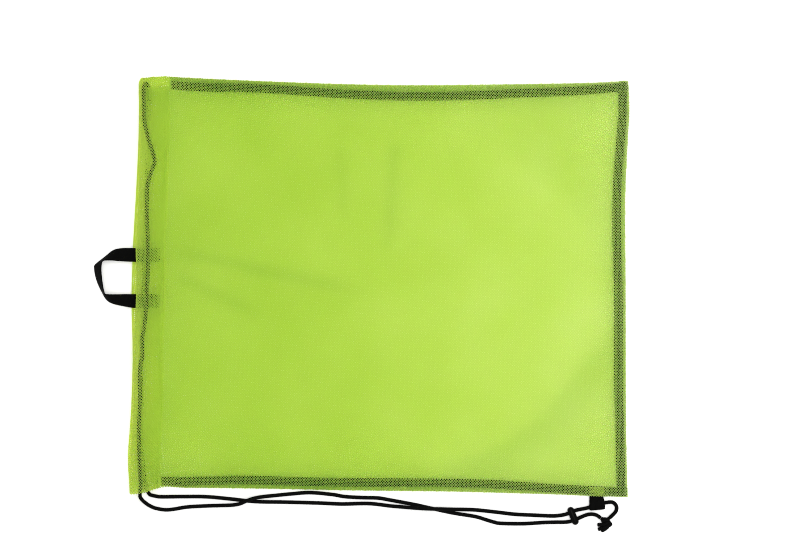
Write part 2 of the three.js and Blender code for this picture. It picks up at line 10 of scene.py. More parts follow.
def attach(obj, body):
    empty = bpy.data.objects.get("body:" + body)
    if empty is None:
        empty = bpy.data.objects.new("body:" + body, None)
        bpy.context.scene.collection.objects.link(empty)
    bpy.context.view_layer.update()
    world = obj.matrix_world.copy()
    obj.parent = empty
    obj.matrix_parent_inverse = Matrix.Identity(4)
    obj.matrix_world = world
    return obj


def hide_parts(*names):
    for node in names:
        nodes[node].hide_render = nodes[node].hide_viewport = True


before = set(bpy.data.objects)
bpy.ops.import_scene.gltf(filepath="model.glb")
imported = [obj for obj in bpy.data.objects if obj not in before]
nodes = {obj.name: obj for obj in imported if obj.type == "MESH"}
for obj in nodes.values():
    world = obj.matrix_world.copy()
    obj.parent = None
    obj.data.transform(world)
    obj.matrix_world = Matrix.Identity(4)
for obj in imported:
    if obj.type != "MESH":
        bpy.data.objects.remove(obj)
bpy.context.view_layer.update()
scene = bpy.context.scene
mm = 0.001  # metres in a millimetre
print("frame loaded:", len(nodes), "nodes")


# Small helpers
def toLinear(hexColour):
    channels = [int(hexColour[i:i + 2], 16) / 255 for i in (1, 3, 5)]
    return tuple(c / 12.92 if c <= 0.04045 else ((c + 0.055) / 1.055) ** 2.4 for c in channels) + (1.0,)


def addNode(tree, kind, settings=None, inputs=None):
    # settings are the node's own fields; an input is a plain value, an output socket of another node,
    # or that node itself, for the first output it has in use
    node = tree.nodes.new(kind)
    for key, value in (settings or {}).items():
        setattr(node, key, value)
    for key, value in (inputs or {}).items():
        socket = node.inputs[key]
        if isinstance(value, bpy.types.Node):
            value = next(output for output in value.outputs if output.enabled)
        if isinstance(value, bpy.types.NodeSocket):
            tree.links.new(value, socket)
        else:
            socket.default_value = value
    return node


def newMaterial(name):
    material = bpy.data.materials.new(name)
    material.use_nodes = True
    material.node_tree.nodes.clear()
    return material, material.node_tree


def reliefSurface(tree, height, strength, depth, look):
    # the end that most materials share: a surface with relief from a pattern's height, depth in millimetres
    bump = addNode(tree, "ShaderNodeBump", inputs={
        "Height": height, "Strength": strength, "Distance": depth * mm})
    return addNode(tree, "ShaderNodeBsdfPrincipled", inputs={"Normal": bump, **look})


def newTree(name, inputs):
    tree = bpy.data.node_groups.new(name, "GeometryNodeTree")
    tree.interface.new_socket("guide", in_out="INPUT", socket_type="NodeSocketGeometry")
    for key in inputs:
        tree.interface.new_socket(key, in_out="INPUT", socket_type="NodeSocketFloat")
    tree.interface.new_socket("made", in_out="OUTPUT", socket_type="NodeSocketGeometry")
    return tree, addNode(tree, "NodeGroupInput")


def paintedTree(tree, made, material):
    # the end of a tree: real geometry in its material
    real = addNode(tree, "GeometryNodeRealizeInstances", inputs={"Geometry": made})
    painted = addNode(tree, "GeometryNodeSetMaterial", inputs={"Geometry": real, "Material": material})
    addNode(tree, "NodeGroupOutput", inputs={"made": painted})
    return tree


def meshObject(name, points, faces, material=None, edges=()):
    mesh = bpy.data.meshes.new(name)
    mesh.from_pydata((np.asarray(points) * mm).tolist(), edges, faces)
    mesh.update()
    mesh.shade_smooth()
    if material:
        mesh.materials.append(material)
    piece = bpy.data.objects.new(name, mesh)
    scene.collection.objects.link(piece)
    return piece


def guideLines(name, lines):
    # open lines as the edges of one mesh
    edges, counted = [], 0
    for line in lines:
        edges += [(index, index + 1) for index in range(counted, counted + len(line) - 1)]
        counted += len(line)
    return meshObject(name, np.vstack(lines), [], edges=edges)


def standFor(piece, node):
    # the piece rides on the bag's one body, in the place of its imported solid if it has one
    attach(piece, "root")
    if node:
        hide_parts(node)
    return piece


def paintUv(piece, uvOfVertex):
    layer = piece.data.uv_layers.new(name="cloth")
    corners = np.empty(len(piece.data.loops), dtype=np.int32)
    piece.data.loops.foreach_get("vertex_index", corners)
    layer.data.foreach_set("uv", np.asarray(uvOfVertex, dtype=np.float32)[corners].ravel())


def keepEvaluated(piece, modifiers):
    # the piece's mesh as its modifiers show it becomes its plain mesh
    graph = bpy.context.evaluated_depsgraph_get()
    made = bpy.data.meshes.new_from_object(piece.evaluated_get(graph), depsgraph=graph)
    for modifier in modifiers:
        piece.modifiers.remove(modifier)
    old = piece.data
    piece.data = made
    bpy.data.meshes.remove(old)
    made.name = piece.name


def bakeNodes(piece, tree, values):
    modifier = piece.modifiers.new(tree.name, "NODES")
    modifier.node_group = tree
    sockets = {item.name: item.identifier for item in tree.interface.items_tree if item.in_out == "INPUT"}
    for key, value in values.items():
        modifier[sockets[key]] = value
    keepEvaluated(piece, [modifier])


def mix(low, high, share):
    return low + (high - low) * share


def smooth(start, end, value):
    share = np.clip((value - start) / (end - start), 0, 1)
    return share * share * (3 - 2 * share)


def curvePoints(points, perSpan):
    # a Catmull-Rom curve through the points, with the same number of steps from each point to the next
    points = np.asarray(points, dtype=float)
    padded = np.vstack([2 * points[0] - points[1], points, 2 * points[-1] - points[-2]])
    t = np.linspace(0, 1, perSpan, endpoint=False)[:, None]
    spans = []
    for i in range(len(points) - 1):
        p0, p1, p2, p3 = padded[i:i + 4]
        bend = (2 * p0 - 5 * p1 + 4 * p2 - p3) * t ** 2 + (3 * p1 - p0 - 3 * p2 + p3) * t ** 3
        spans.append(0.5 * (2 * p1 + (p2 - p0) * t + bend))
    return np.vstack(spans + [points[-1:]])


def tubeFaces(rings, sides):
    # quads round a tube whose points come ring by ring
    faces = []
    for ring in range(rings - 1):
        for side in range(sides):
            here, after = ring * sides + side, ring * sides + (side + 1) % sides
            faces.append((here, after, after + sides, here + sides))
    return faces


def lengthsAlong(points):
    return np.concatenate([[0], np.cumsum(np.linalg.norm(np.diff(points, axis=0), axis=1))])


# The stage: a white floor, soft studio light from above, and the camera straight over the bag
stage = {
    "imageWide": 800, "mmPerPixel": 1.2, "centreX": 25.2, "centreY": 22.8, "lens": 85.0, "sensor": 36.0,
    "faceHeight": 8,  # the level that keeps the scale: the net's upper face
    "floorColour": "#fdfdfc", "floorReach": 6000, "floorGlow": 0.172, "worldStrength": 0.562,
    "lights": {
        "topLight": {"place": (500, 100, 2500), "size": 1.8, "power": 52.5},
        "sideLight": {"place": (1500, 200, 900), "size": 1.0, "power": 25.9},
    },
}


def makeStage():
    wide = stage["imageWide"] * stage["mmPerPixel"]
    camera = bpy.data.objects.new("photoCamera", bpy.data.cameras.new("photoCamera"))
    camera.data.lens = stage["lens"]
    camera.data.sensor_width = stage["sensor"]
    camera.data.clip_end = 50
    height = wide * stage["lens"] / stage["sensor"] + stage["faceHeight"]
    camera.location = (stage["centreX"] * mm, stage["centreY"] * mm, height * mm)
    scene.collection.objects.link(camera)
    scene.camera = camera

    world = bpy.data.worlds.new("studio")
    world.use_nodes = True
    world.node_tree.nodes["Background"].inputs["Color"].default_value = (1, 1, 1, 1)
    world.node_tree.nodes["Background"].inputs["Strength"].default_value = stage["worldStrength"]
    scene.world = world

    for name, given in stage["lights"].items():
        light = bpy.data.objects.new(name, bpy.data.lights.new(name, "AREA"))
        light.data.size = given["size"]
        light.data.energy = given["power"]
        light.location = [value * mm for value in given["place"]]
        aim = -np.array(given["place"], dtype=float)
        lean = math.atan2(math.hypot(aim[0], aim[1]), -aim[2])
        light.rotation_euler = (lean, 0, math.atan2(aim[0], -aim[1]))
        scene.collection.objects.link(light)

    # opal acrylic lit a little from below: even, matt and white
    board, tree = newMaterial("castOpalAcrylic")
    coords = addNode(tree, "ShaderNodeTexCoord")
    grain = addNode(tree, "ShaderNodeTexNoise", inputs={"Vector": coords.outputs["Object"], "Scale": 900.0})
    bump = addNode(tree, "ShaderNodeBump", inputs={"Height": grain.outputs["Fac"], "Strength": 0.02})
    shader = addNode(tree, "ShaderNodeBsdfPrincipled", inputs={
        "Base Color": toLinear(stage["floorColour"]), "Roughness": 0.9, "Normal": bump,
        "Specular IOR Level": 0.2, "Emission Color": toLinear(stage["floorColour"]),
        "Emission Strength": stage["floorGlow"]})
    addNode(tree, "ShaderNodeOutputMaterial", inputs={"Surface": shader})
    reach = stage["floorReach"]
    corners = [(x * reach, y * reach, -0.1) for x, y in ((-1, -1), (1, -1), (1, 1), (-1, 1))]
    meshObject("floor", corners, [(0, 1, 2, 3)], board)
    scene.view_settings.view_transform = "Standard"
    scene.cycles.use_denoising = True
    scene.cycles.denoising_prefilter = "NONE"  # the other settings blur the net away
    scene.cycles.filter_width = 1.0
    scene.cycles.max_bounces = 24  # light passes through many strands on its way to the floor and back
    scene.cycles.transmission_bounces = 24
    scene.cycles.diffuse_bounces = 8


makeStage()
print("stage ready")

# The bag's shape, repeated from the part's own sizes, in millimetres
bag = {
    "length": 592, "width": 492, "mouthX": -295, "cloth": 1.0, "sewnGap": 0.3, "seamRise": 1.5,
    "rimReach": 45, "bodyHeight": 10.5,
    "hemWidth": 36, "tunnelHeight": 5.6, "tunnelFlat": 30, "hemEndInset": 13, "hemTurnedIn": 6,
    "cornerReach": 10, "cornerRun": 60, "mouthOpen": 6.4, "mouthSlope": 170, "gapeShare": 0.2,
    "backSewn": (2, 26), "frontSewn": (1, 24),  # past the hem: where the side seams start and are full
    "seamReach": 18, "tapeThick": 1.0, "tapeStart": 38, "tapeGaps": 1.6,
    "tabLeft": 253, "tabRight": 271.4, "tabLift": 2.5, "tabClear": 0.8, "tabFade": 5, "tabReach": 26,
}
hemHeight = bag["tunnelHeight"] + 2 * bag["cloth"]
hemFoldRadius = (bag["tunnelHeight"] + bag["cloth"]) / 2

# how far each edge bows out: place along it from 0 to 1, and millimetres outward
upperEdge = [
    (0, 4.2), (0.022, 5.2), (0.05, 6.2), (0.085, 4.7), (0.15, 2.7), (0.29, -0.8), (0.43, -3.6),
    (0.57, -4.7), (0.78, -3.4), (0.93, -1.7), (1, 0.6),
]
lowerEdge = [
    (0, 3.4), (0.01, 3.2), (0.032, 1), (0.058, -4.2), (0.072, -5.4), (0.085, -4.7), (0.103, -3.6),
    (0.15, -3.4), (0.29, -2.2), (0.45, -0.3), (0.64, 1), (0.78, 3.2), (0.86, 4.6), (0.93, 6.4), (1, 7.6),
]
seamEdge = [(0, 1.8), (0.15, 0.1), (0.5, -0.5), (0.72, -0.9), (0.86, 2.1), (0.93, 4), (1, 2.5)]
backMouthEdge = [
    (0, 4.6), (0.05, 6), (0.09, 6.6), (0.135, 5.2), (0.2, 2.8), (0.33, 1), (0.47, 2.2), (0.6, 0.3),
    (0.74, -3.6), (0.86, -6.2), (1, -7),
]
frontMouthEdge = [
    (0, 3), (0.05, 2.8), (0.09, 2), (0.135, 0.5), (0.23, -2), (0.36, -1.6), (0.45, -4.7), (0.53, -5.4),
    (0.6, -4.8), (0.68, -7), (0.84, -9.2), (1, -8.6),
]

# creases in the front panel: from x, y to x, y, half width, rise
creases = [
    (-251, 43, 0, -11, 22, 2.6), (-245, 13, -130, -40, 20, 2.2),
    (-46, 170, -42, 75, 18, 1.6), (20, 175, 10, 30, 22, 2.2),
]
roundCrease = {"x": 71, "y": -26, "radius": 192, "fromDeg": -88, "toDeg": -12, "halfWidth": 24, "rise": 2.4,
               "fadeDeg": 25}


def readTable(rows, at):
    # a smooth curve through a table's rows
    at = np.asarray(at, dtype=float)
    place = np.array([row[0] for row in rows], dtype=float)
    out = np.array([row[1] for row in rows], dtype=float)
    here = np.searchsorted(place[1:-1], at, side="left")
    before = np.maximum(here - 1, 0)
    after = np.minimum(here + 2, len(rows) - 1)
    span = place[here + 1] - place[here]
    share = (at - place[here]) / span
    startSlope = (out[here + 1] - out[before]) / (place[here + 1] - place[before]) * span
    endSlope = (out[after] - out[here]) / (place[after] - place[here]) * span
    left = 1 - share
    return ((1 + 2 * share) * left * left * out[here] + share * share * (3 - 2 * share) * out[here + 1]
            + share * left * (left * startSlope - share * endSlope))


def rim(distance, reach):
    left = 1 - np.clip(distance / reach, 0, 1)
    return np.sqrt(1 - left * left)


def lowerY(run):
    return -bag["width"] / 2 - readTable(lowerEdge, run / bag["length"])


def upperY(run):
    return bag["width"] / 2 + readTable(upperEdge, run / bag["length"])


def acrossAt(run, y):
    return (y - lowerY(run)) / (upperY(run) - lowerY(run))


def planX(mouthEdge, run, across):
    mouth = bag["mouthX"] - readTable(mouthEdge, across)
    seam = bag["mouthX"] + bag["length"] + readTable(seamEdge, across)
    return mix(mouth, seam, run / bag["length"])


def creaseRise(x, y):
    rise = np.zeros_like(x)
    for fromX, fromY, toX, toY, halfWidth, height in creases:
        length = math.hypot(toX - fromX, toY - fromY)
        alongX, alongY = (toX - fromX) / length, (toY - fromY) / length
        place = (x - fromX) * alongX + (y - fromY) * alongY
        aside = np.abs((y - fromY) * alongX - (x - fromX) * alongY)
        fade = smooth(0, length * 0.25, place) * smooth(0, length * 0.4, length - place)
        rise += height * fade * (1 - smooth(0, halfWidth, aside))
    arc = roundCrease
    turn = np.degrees(np.arctan2(y - arc["y"], x - arc["x"]))
    aside = np.abs(np.hypot(x - arc["x"], y - arc["y"]) - arc["radius"])
    fade = smooth(0, arc["fadeDeg"], turn - arc["fromDeg"]) * smooth(0, arc["fadeDeg"], arc["toDeg"] - turn)
    return rise + arc["rise"] * fade * (1 - smooth(0, arc["halfWidth"], aside))


# fine unevenness of a soft net: a few seeded ripples in many directions
rippleSet = {"seed": 7, "count": 14, "shortest": 45, "longest": 160, "height": 0.5}


def ripples(x, y):
    chance = np.random.default_rng(rippleSet["seed"])
    total = np.zeros_like(x)
    for _ in range(rippleSet["count"]):
        angle, phase = chance.uniform(0, 2 * math.pi, 2)
        wave = chance.uniform(rippleSet["shortest"], rippleSet["longest"])
        total += np.sin((x * math.cos(angle) + y * math.sin(angle)) * 2 * math.pi / wave + phase)
    return total * rippleSet["height"] / math.sqrt(rippleSet["count"])


def backLift(run, across):
    sewn = smooth(*bag["backSewn"], run - bag["hemWidth"])
    width, reach = upperY(run) - lowerY(run), bag["seamReach"]
    fromSides = smooth(0, reach, across * width) * smooth(0, reach, (1 - across) * width)
    return bag["cloth"] / 2 + bag["seamRise"] * sewn * (1 - fromSides * smooth(0, reach, bag["length"] - run))


def frontLift(run, across):
    x = planX(frontMouthEdge, run, across)
    y = mix(lowerY(run), upperY(run), across)
    width = upperY(run) - lowerY(run)
    hem, cloth, gap = bag["hemWidth"], bag["cloth"], bag["sewnGap"]
    sewn = smooth(*bag["frontSewn"], run - hem)
    edge = cloth * 1.5 + gap + (bag["seamRise"] + bag["tapeThick"] + bag["tapeGaps"] * gap) * sewn
    gape = smooth(0, bag["gapeShare"], across) * smooth(0, bag["gapeShare"], 1 - across)
    hemCrest = 2 * hemHeight + gap + (bag["mouthOpen"] - gap) * gape - cloth / 2
    body = bag["bodyHeight"] + creaseRise(x, y) + ripples(x, y)
    crest = mix(hemCrest, body, smooth(hem, bag["mouthSlope"], run))
    lowerRim = mix(1, rim(across * width, bag["rimReach"]), sewn)
    upperReach = mix(bag["cornerReach"], bag["rimReach"], smooth(hem, hem + bag["cornerRun"], run))
    upperRim = rim((1 - across) * width, upperReach)
    endRim = rim(bag["length"] - run, bag["rimReach"])
    fade, clear = bag["tabFade"], bag["tabClear"]
    overTab = smooth(bag["tabLeft"] - fade, bag["tabLeft"] - clear, x)
    overTab = overTab * smooth(bag["tabRight"] + fade, bag["tabRight"] + clear, x)
    tabLift = bag["tabLift"] * overTab * (1 - smooth(0, bag["tabReach"], across * width))
    return edge + (crest - edge) * lowerRim * upperRim * endRim + tabLift


panels = {
    "front": {"mouthEdge": frontMouthEdge, "lift": frontLift, "direction": -1},
    "back": {"mouthEdge": backMouthEdge, "lift": backLift, "direction": 1},
}

# a panel's path from the bottom seam to the mouth, round the hem's fold, back to the stitch line and in:
# distance along the cloth, distance from the mouth, distance from the outer layer, and share of the end inset
foldTurns = np.linspace(0, math.pi, 13)
outerEnd = bag["length"] - hemFoldRadius
innerDrop = 2 * hemFoldRadius
sewnDrop = bag["cloth"] + bag["sewnGap"]
innerStart = outerEnd + math.pi * hemFoldRadius
innerFlat = innerStart + bag["tunnelFlat"] - hemFoldRadius
sewnPlace = innerFlat + math.hypot(bag["hemWidth"] - bag["tunnelFlat"], innerDrop - sewnDrop)
clothLength = sewnPlace + bag["hemTurnedIn"]
pathPlace = np.concatenate([[0], outerEnd + foldTurns * hemFoldRadius, [innerFlat, sewnPlace, clothLength]])
pathRun = np.concatenate([
    [bag["length"]], hemFoldRadius * (1 - np.sin(foldTurns)),
    [bag["tunnelFlat"], bag["hemWidth"], bag["hemWidth"] - bag["hemTurnedIn"]]])
pathFold = np.concatenate([[0], hemFoldRadius * (1 - np.cos(foldTurns)), [innerDrop, sewnDrop, sewnDrop / 2]])
pathInset = np.concatenate([[0], (1 - np.cos(foldTurns)) / 2, [1, 1, 1]])


def clothPoint(side, place, across):
    # where a spot of the flat cloth lies: place in millimetres along it, across from 0 to 1
    panel = panels[side]
    run = np.interp(place, pathPlace, pathRun)
    fold = np.interp(place, pathPlace, pathFold)
    inset = np.interp(place, pathPlace, pathInset) * bag["hemEndInset"]
    y = mix(lowerY(run), upperY(run) - inset, across)
    level = acrossAt(run, y)
    x = planX(panel["mouthEdge"], run, level)
    return np.stack([x, y, panel["lift"](run, level) + panel["direction"] * fold], axis=-1)


# The drawcord: its run in the hem and its two free strands
drawcord = {
    "width": 4.7, "sides": 14, "ring": 1.2, "spanSteps": 24, "floorGap": 0.1,
    "endShare": 0.82,  # the cut ends are a little rounded
    "relief": 0.06, "braidLong": 7.0, "braidCount": 4,
    "colour": "#060606", "light": "#0d0d0d", "frontExit": (-286.4, -250.4, 11.2),
    "backExit": (-277.4, -248.2, 3.6), "frontLength": 0.572, "backLength": 0.588,
}
lyingZ = drawcord["width"] / 2 + drawcord["floorGap"]
frontHemRoute = [
    (-286.2, -246), (-285.2, -238), (-286.2, -226.8), (-286.6, -211), (-286.9, -172.8), (-285.4, -136.8),
    (-285.9, -110.4), (-284.9, -93.6), (-282.6, -82.8), (-282.8, -63.6), (-280.3, -48), (-278.1, -28.8),
    (-276.9, 0), (-276, 22), (-276.1, 55), (-277.1, 86.4), (-277.1, 112.8), (-275.3, 124.8), (-272.4, 135.6),
    (-269, 144), (-268, 151.2), (-271.4, 163.2), (-274.2, 172.2), (-278.3, 186), (-280.7, 199.7),
    (-281, 218.4),
]
cornerTurn = {"frontX": -281.8, "backX": -277, "startY": 236, "reach": 7.5}
backHemRoute = [(-276.8, 222), (-279, 130), (-283, 0), (-286, -130), (-284.6, -200), (-280.6, -240.6)]
# each strand from its hem end to the knot: x, y and the height above a lying cord
frontStrandRoute = [
    (-286, -253.4, 8.2), (-283.2, -257.7, 5.6), (-279.8, -261, 3.5), (-275.4, -264.3, 1.8),
    (-268.4, -267.4, 0.5), (-256.7, -269.3, 0), (-246, -268.4, 0), (-230.6, -265.9, 0), (-207.6, -264.6, 0),
    (-188.9, -264, 0.7), (-176.9, -263.3, 2.6), (-167.6, -261.6, 4.6), (-158.5, -257.7, 5.3),
    (-149.2, -254.7, 4.2), (-138.5, -253.2, 1.7), (-125.2, -252, 0.3), (-104, -250, 0), (-82.5, -248.6, 0),
    (-56.1, -250.9, 0), (-41.1, -253.4, 0), (-20, -254.6, 0), (-1.3, -255.1, 0), (13.8, -257.6, 0),
    (43.7, -263.2, 0), (58.6, -266.5, 0), (88.2, -272.9, 0), (115.2, -277.3, 0), (128.2, -281.1, 0),
    (138.2, -284.1, 0), (146.7, -285.6, 0), (173, -286, 0), (198, -284.6, 0), (213, -284.2, 0.2),
    (222, -284, 1), (230, -283, 1.75), (239.9, -279.1, 1.75), (248.5, -275.6, 1.2), (255, -274.4, 0.6),
    (261.4, -275.6, 0.6), (266.6, -279, 1.4),
]
backStrandRoute = [
    (-275.2, -251, 0.9), (-269.2, -252.7, 0), (-261.7, -253.6, 0), (-238.3, -253.4, 0), (-207.6, -253.6, 0),
    (-176.9, -256.4, 0), (-148, -259.4, 0), (-110, -260.1, 0), (-71, -261.2, 0), (-44.1, -262.3, 0),
    (-12.2, -261.8, 0), (13.8, -264.6, 0.5), (28.7, -265.6, 2.6), (43.7, -266.6, 4.6), (58.6, -267.4, 5.2),
    (73.6, -267.7, 5.1), (88.2, -268.3, 3.4), (103.3, -268.8, 0.9), (118.2, -269.6, 0), (140.6, -272, 0),
    (163.1, -274.6, 0), (185.2, -275.7, 0), (207.9, -276.6, 0.2), (218.2, -275.8, 1), (226.4, -273.8, 1.75),
    (236.2, -269.8, 1.75), (244.5, -268, 1.75), (249.5, -267, 1.75), (254, -265.7, 1.75),
    (262, -263.1, 1.75), (270, -261, 1.7), (277.1, -259.9, 1.2), (281, -260.3, 0.7), (284.1, -262.5, 0.2),
    (285.8, -266, 0), (285.4, -269.9, 0.1), (283.7, -272.6, 0.5), (280.2, -276, 1.2), (276.7, -279, 1.9),
]


def braidedCord():
    # braided polyester: matt black, a checked relief of crossing yarns, hardly any shine
    material, tree = newMaterial("braidedPolyesterCord")
    uv = addNode(tree, "ShaderNodeUVMap", {"uv_map": "cloth"})
    turned = addNode(tree, "ShaderNodeVectorRotate", {"rotation_type": "Z_AXIS"},
                     {"Vector": uv.outputs["UV"], "Angle": math.radians(45)})
    check = addNode(tree, "ShaderNodeTexChecker", inputs={
        "Vector": turned, "Scale": 5.6,
        "Color1": toLinear(drawcord["colour"]), "Color2": toLinear(drawcord["light"])})
    yarn = addNode(tree, "ShaderNodeTexWave", inputs={"Vector": turned, "Scale": 4.0, "Distortion": 0.4})
    cord = reliefSurface(tree, yarn.outputs["Fac"], 0.35, 0.3, {
        "Base Color": check.outputs["Color"], "Roughness": 0.7, "Specular IOR Level": 0.03})
    addNode(tree, "ShaderNodeOutputMaterial", inputs={"Surface": cord})
    return material


def cordShape(points):
    # a round cord along a smooth route with a braid's shallow relief: its points, faces, UV places and route
    fine = curvePoints(points, drawcord["spanSteps"])
    gone = lengthsAlong(fine)
    even = np.linspace(0, gone[-1], max(int(round(gone[-1] / drawcord["ring"])), 3) + 1)
    route = np.stack([np.interp(even, gone, fine[:, axis]) for axis in range(3)], axis=1)
    along = np.gradient(route, axis=0)
    along /= np.linalg.norm(along, axis=1)[:, None]
    sides = drawcord["sides"]
    angles = 2 * math.pi * np.arange(sides) / sides
    aside = np.cross(along[0], (0, 0, 1.0))
    made, uv = [], []
    for ring, direction in enumerate(along):
        aside = aside - direction * np.dot(aside, direction)
        aside /= np.linalg.norm(aside)
        lay = 2 * math.pi * even[ring] / drawcord["braidLong"]
        weave = np.cos(drawcord["braidCount"] * angles + lay) * np.cos(drawcord["braidCount"] * angles - lay)
        radius = drawcord["width"] / 2 * (1 - drawcord["relief"] * (0.5 - 0.5 * weave))
        if ring in (0, len(route) - 1):
            radius = radius * drawcord["endShare"]
        spoke = np.cos(angles)[:, None] * aside + np.sin(angles)[:, None] * np.cross(direction, aside)
        made.append(route[ring] + radius[:, None] * spoke)
        upAlong = np.full(sides, even[ring] / drawcord["width"])
        uv.append(np.stack([np.arange(sides) / sides * math.pi, upAlong], axis=1))
    last = (len(route) - 1) * sides
    caps = [tuple(reversed(range(sides))), tuple(range(last, last + sides))]
    return np.vstack(made), tubeFaces(len(route), sides) + caps, np.vstack(uv), route


def cordPiece(name, node, shapes, material):
    points, faces, uv, counted = [], [], [], 0
    for made, shapeFaces, shapeUv, _ in shapes:
        points.append(made)
        uv.append(shapeUv)
        faces += [tuple(corner + counted for corner in face) for face in shapeFaces]
        counted += len(made)
    piece = meshObject(name, np.vstack(points), faces, material)
    paintUv(piece, np.vstack(uv))
    return standFor(piece, node)


def hemCordPoints():
    points = [drawcord["frontExit"]]
    for x, y in frontHemRoute + [(cornerTurn["frontX"], cornerTurn["startY"])]:
        across = acrossAt(0, y)
        run = x - planX(frontMouthEdge, 0.0, across)
        points.append((x, y, float(frontLift(run, across)) - hemFoldRadius))
    frontZ = points[-1][2]
    backZ = bag["cloth"] + bag["tunnelHeight"] / 2
    for angle in np.linspace(0, math.pi, 7)[1:]:
        share = (1 - math.cos(angle)) / 2
        x = mix(cornerTurn["frontX"], cornerTurn["backX"], share)
        y = cornerTurn["startY"] + cornerTurn["reach"] * math.sin(angle)
        points.append((x, y, mix(frontZ, backZ, share)))
    return points + [(x, y, backZ) for x, y in backHemRoute] + [drawcord["backExit"]]


def strandShape(exitPoint, route):
    return cordShape([exitPoint] + [(x, y, lyingZ + lift) for x, y, lift in route])


cordMaterial = braidedCord()
cordPiece("hemCord", "hem_cord", [cordShape(hemCordPoints())], cordMaterial)
frontShape = strandShape(drawcord["frontExit"], frontStrandRoute)
backShape = strandShape(drawcord["backExit"], backStrandRoute)
frontStrand = cordPiece("frontStrand", "front_strand", [frontShape], cordMaterial)
backStrand = cordPiece("backStrand", "back_strand", [backShape], cordMaterial)
print("drawcord laid")

# The net: two families of slanting strands on the flat cloth, laid on the panels
net = {
    "pitchLong": 3.123, "pitchAcross": 3.38, "strandHigh": 0.3, "apart": 0.12, "twist": 0.8,
    "shortest": 1.5, "closest": 0.7, "foldSteps": 7, "foldLead": 12, "hemLead": 2,  # a strand and its bends
    "frontWide": 0.82, "backWide": 1.82,  # the back net lies slack and its meshes are nearly closed
    "frontLight": 0.93, "backLight": 1.0,  # the front yarn lets less through, so its meshes show
    "frontHemShare": 1.0, "backHemShare": 0.5,  # narrower strands give the back hem's fold a clean edge
    "frontStep": 33, "backStep": 46, "frontTurnDeg": 0, "backTurnDeg": 38,
    "frontRim": [0, 2, 5, 10, 18, 30, 45], "backRim": [0, 5, 10, 18],  # where strands bend near a sewn edge
    # painted light: the mouth and seam colours make the yarn lighter toward the bottom seam; the hem colours
    # are painted paler against the shade of the hem's layers
    "mouthColour": "#8edc6a", "seamColour": "#b4f45e", "hemColour": "#b4f47c",
    "mouthGlow": "#fbfbc0", "seamGlow": "#fffceb", "hemGlow": "#fdfcb2", "paintedShadeTint": "#fbfcf9",
    "glow": 0.845, "patchScale": 12.0, "patchShare": 0.8, "paintedLightX": (-150, 300), "paintedLightShare": (-0.25, 0.55),
    "hemBlur": 0.002, "mapSpread": (0.0006, 0.0008, 0.0),  # the sides of a strand lie apart on the bake map
    # painted shade: the crease tint darkens the yarn's glow; creaseWide, rimShade and cornerShade set how
    # wide and how dark the painted shade is along the creases, inside the sewn edges and in the bottom
    # corners
    "creaseWide": 0.6, "rimShade": 0.7, "rimNear": 8, "rimSide": 45, "rimEnd": 30,
    "cornerShade": 0.35, "roundInset": 6,
}
allowance = {
    "from": 0.4, "deep": 10.5, "bends": 3, "lift": 0.6, "apart": 0.05,
    "foldDeep": 0.3, "foldLift": 0.4, "foldStep": 8,
}


def creaseShade(tree, place, flatAlong, flatAcross):
    # painted shade along the creases, just inside the sewn edges and in the two bottom corners:
    # 0 on flat cloth, 1 on the sharpest crease.
    # A shade is a strength and the ramps that bound it: a value, where the ramp starts and where it is full.
    near, side = net["rimNear"] / bag["width"], net["rimSide"] / bag["width"]
    shades = [
        (net["rimShade"], [(flatAcross, side, near)]),
        (net["rimShade"], [(flatAcross, 1 - side, 1 - near)]),
        (net["rimShade"], [(flatAlong, net["rimEnd"] / clothLength, net["rimNear"] / clothLength)]),
    ]
    sharpest = max(row[5] for row in creases)
    for fromX, fromY, toX, toY, halfWidth, height in creases:
        length = math.hypot(toX - fromX, toY - fromY)
        alongX, alongY = (toX - fromX) / length, (toY - fromY) / length
        run, aside = [
            addNode(tree, "ShaderNodeVectorMath", {"operation": "DOT_PRODUCT"}, {0: place, 1: direction})
            for direction in ((alongX, alongY, 0), (-alongY, alongX, 0))]
        start, middle = fromX * alongX + fromY * alongY, fromY * alongX - fromX * alongY
        wide = halfWidth * net["creaseWide"]
        ramps = [(run, start, start + 0.1 * length), (run, start + length, start + 0.7 * length),
                 (aside, middle - wide, middle), (aside, middle + wide, middle)]
        shades.append((height / sharpest, [(value, low * mm, full * mm) for value, low, full in ramps]))
    arc = roundCrease
    away = addNode(tree, "ShaderNodeVectorMath", {"operation": "MULTIPLY_ADD"}, {
        0: place, 1: (1, 1, 0), 2: (-arc["x"] * mm, -arc["y"] * mm, 0)})
    out = addNode(tree, "ShaderNodeVectorMath", {"operation": "LENGTH"}, {0: away})
    middle = math.radians((arc["fromDeg"] + arc["toDeg"]) / 2)
    halfTurn = math.radians(arc["toDeg"] - arc["fromDeg"]) / 2
    facing, toSeam = [
        addNode(tree, "ShaderNodeVectorMath", {"operation": "DOT_PRODUCT"}, {
            0: away, 1: (math.cos(turn), math.sin(turn), 0)})
        for turn in (middle, 0)]
    inner, wide = (arc["radius"] - net["roundInset"]) * mm, arc["halfWidth"] * net["creaseWide"] * mm
    shades.append((arc["rise"] / sharpest, [
        (out, inner - wide, inner), (out, inner + 3 * wide, inner),
        (facing, inner * math.cos(halfTurn), inner * math.cos(halfTurn / 2))]))
    # painted shade in the two bottom corners, outside the round crease
    shades.append((net["cornerShade"], [(out, inner, inner + 2 * wide), (toSeam, 0, 0.7 * inner)]))
    total = 0.0
    for shade, ramps in shades:
        for value, start, full in ramps:
            shade = addNode(tree, "ShaderNodeMapRange", {"interpolation_type": "SMOOTHSTEP"}, {
                "Value": value, "From Min": start, "From Max": full, "To Max": shade})
        total = addNode(tree, "ShaderNodeMath", {"operation": "ADD", "use_clamp": True}, {
            0: total, 1: shade})
    return total


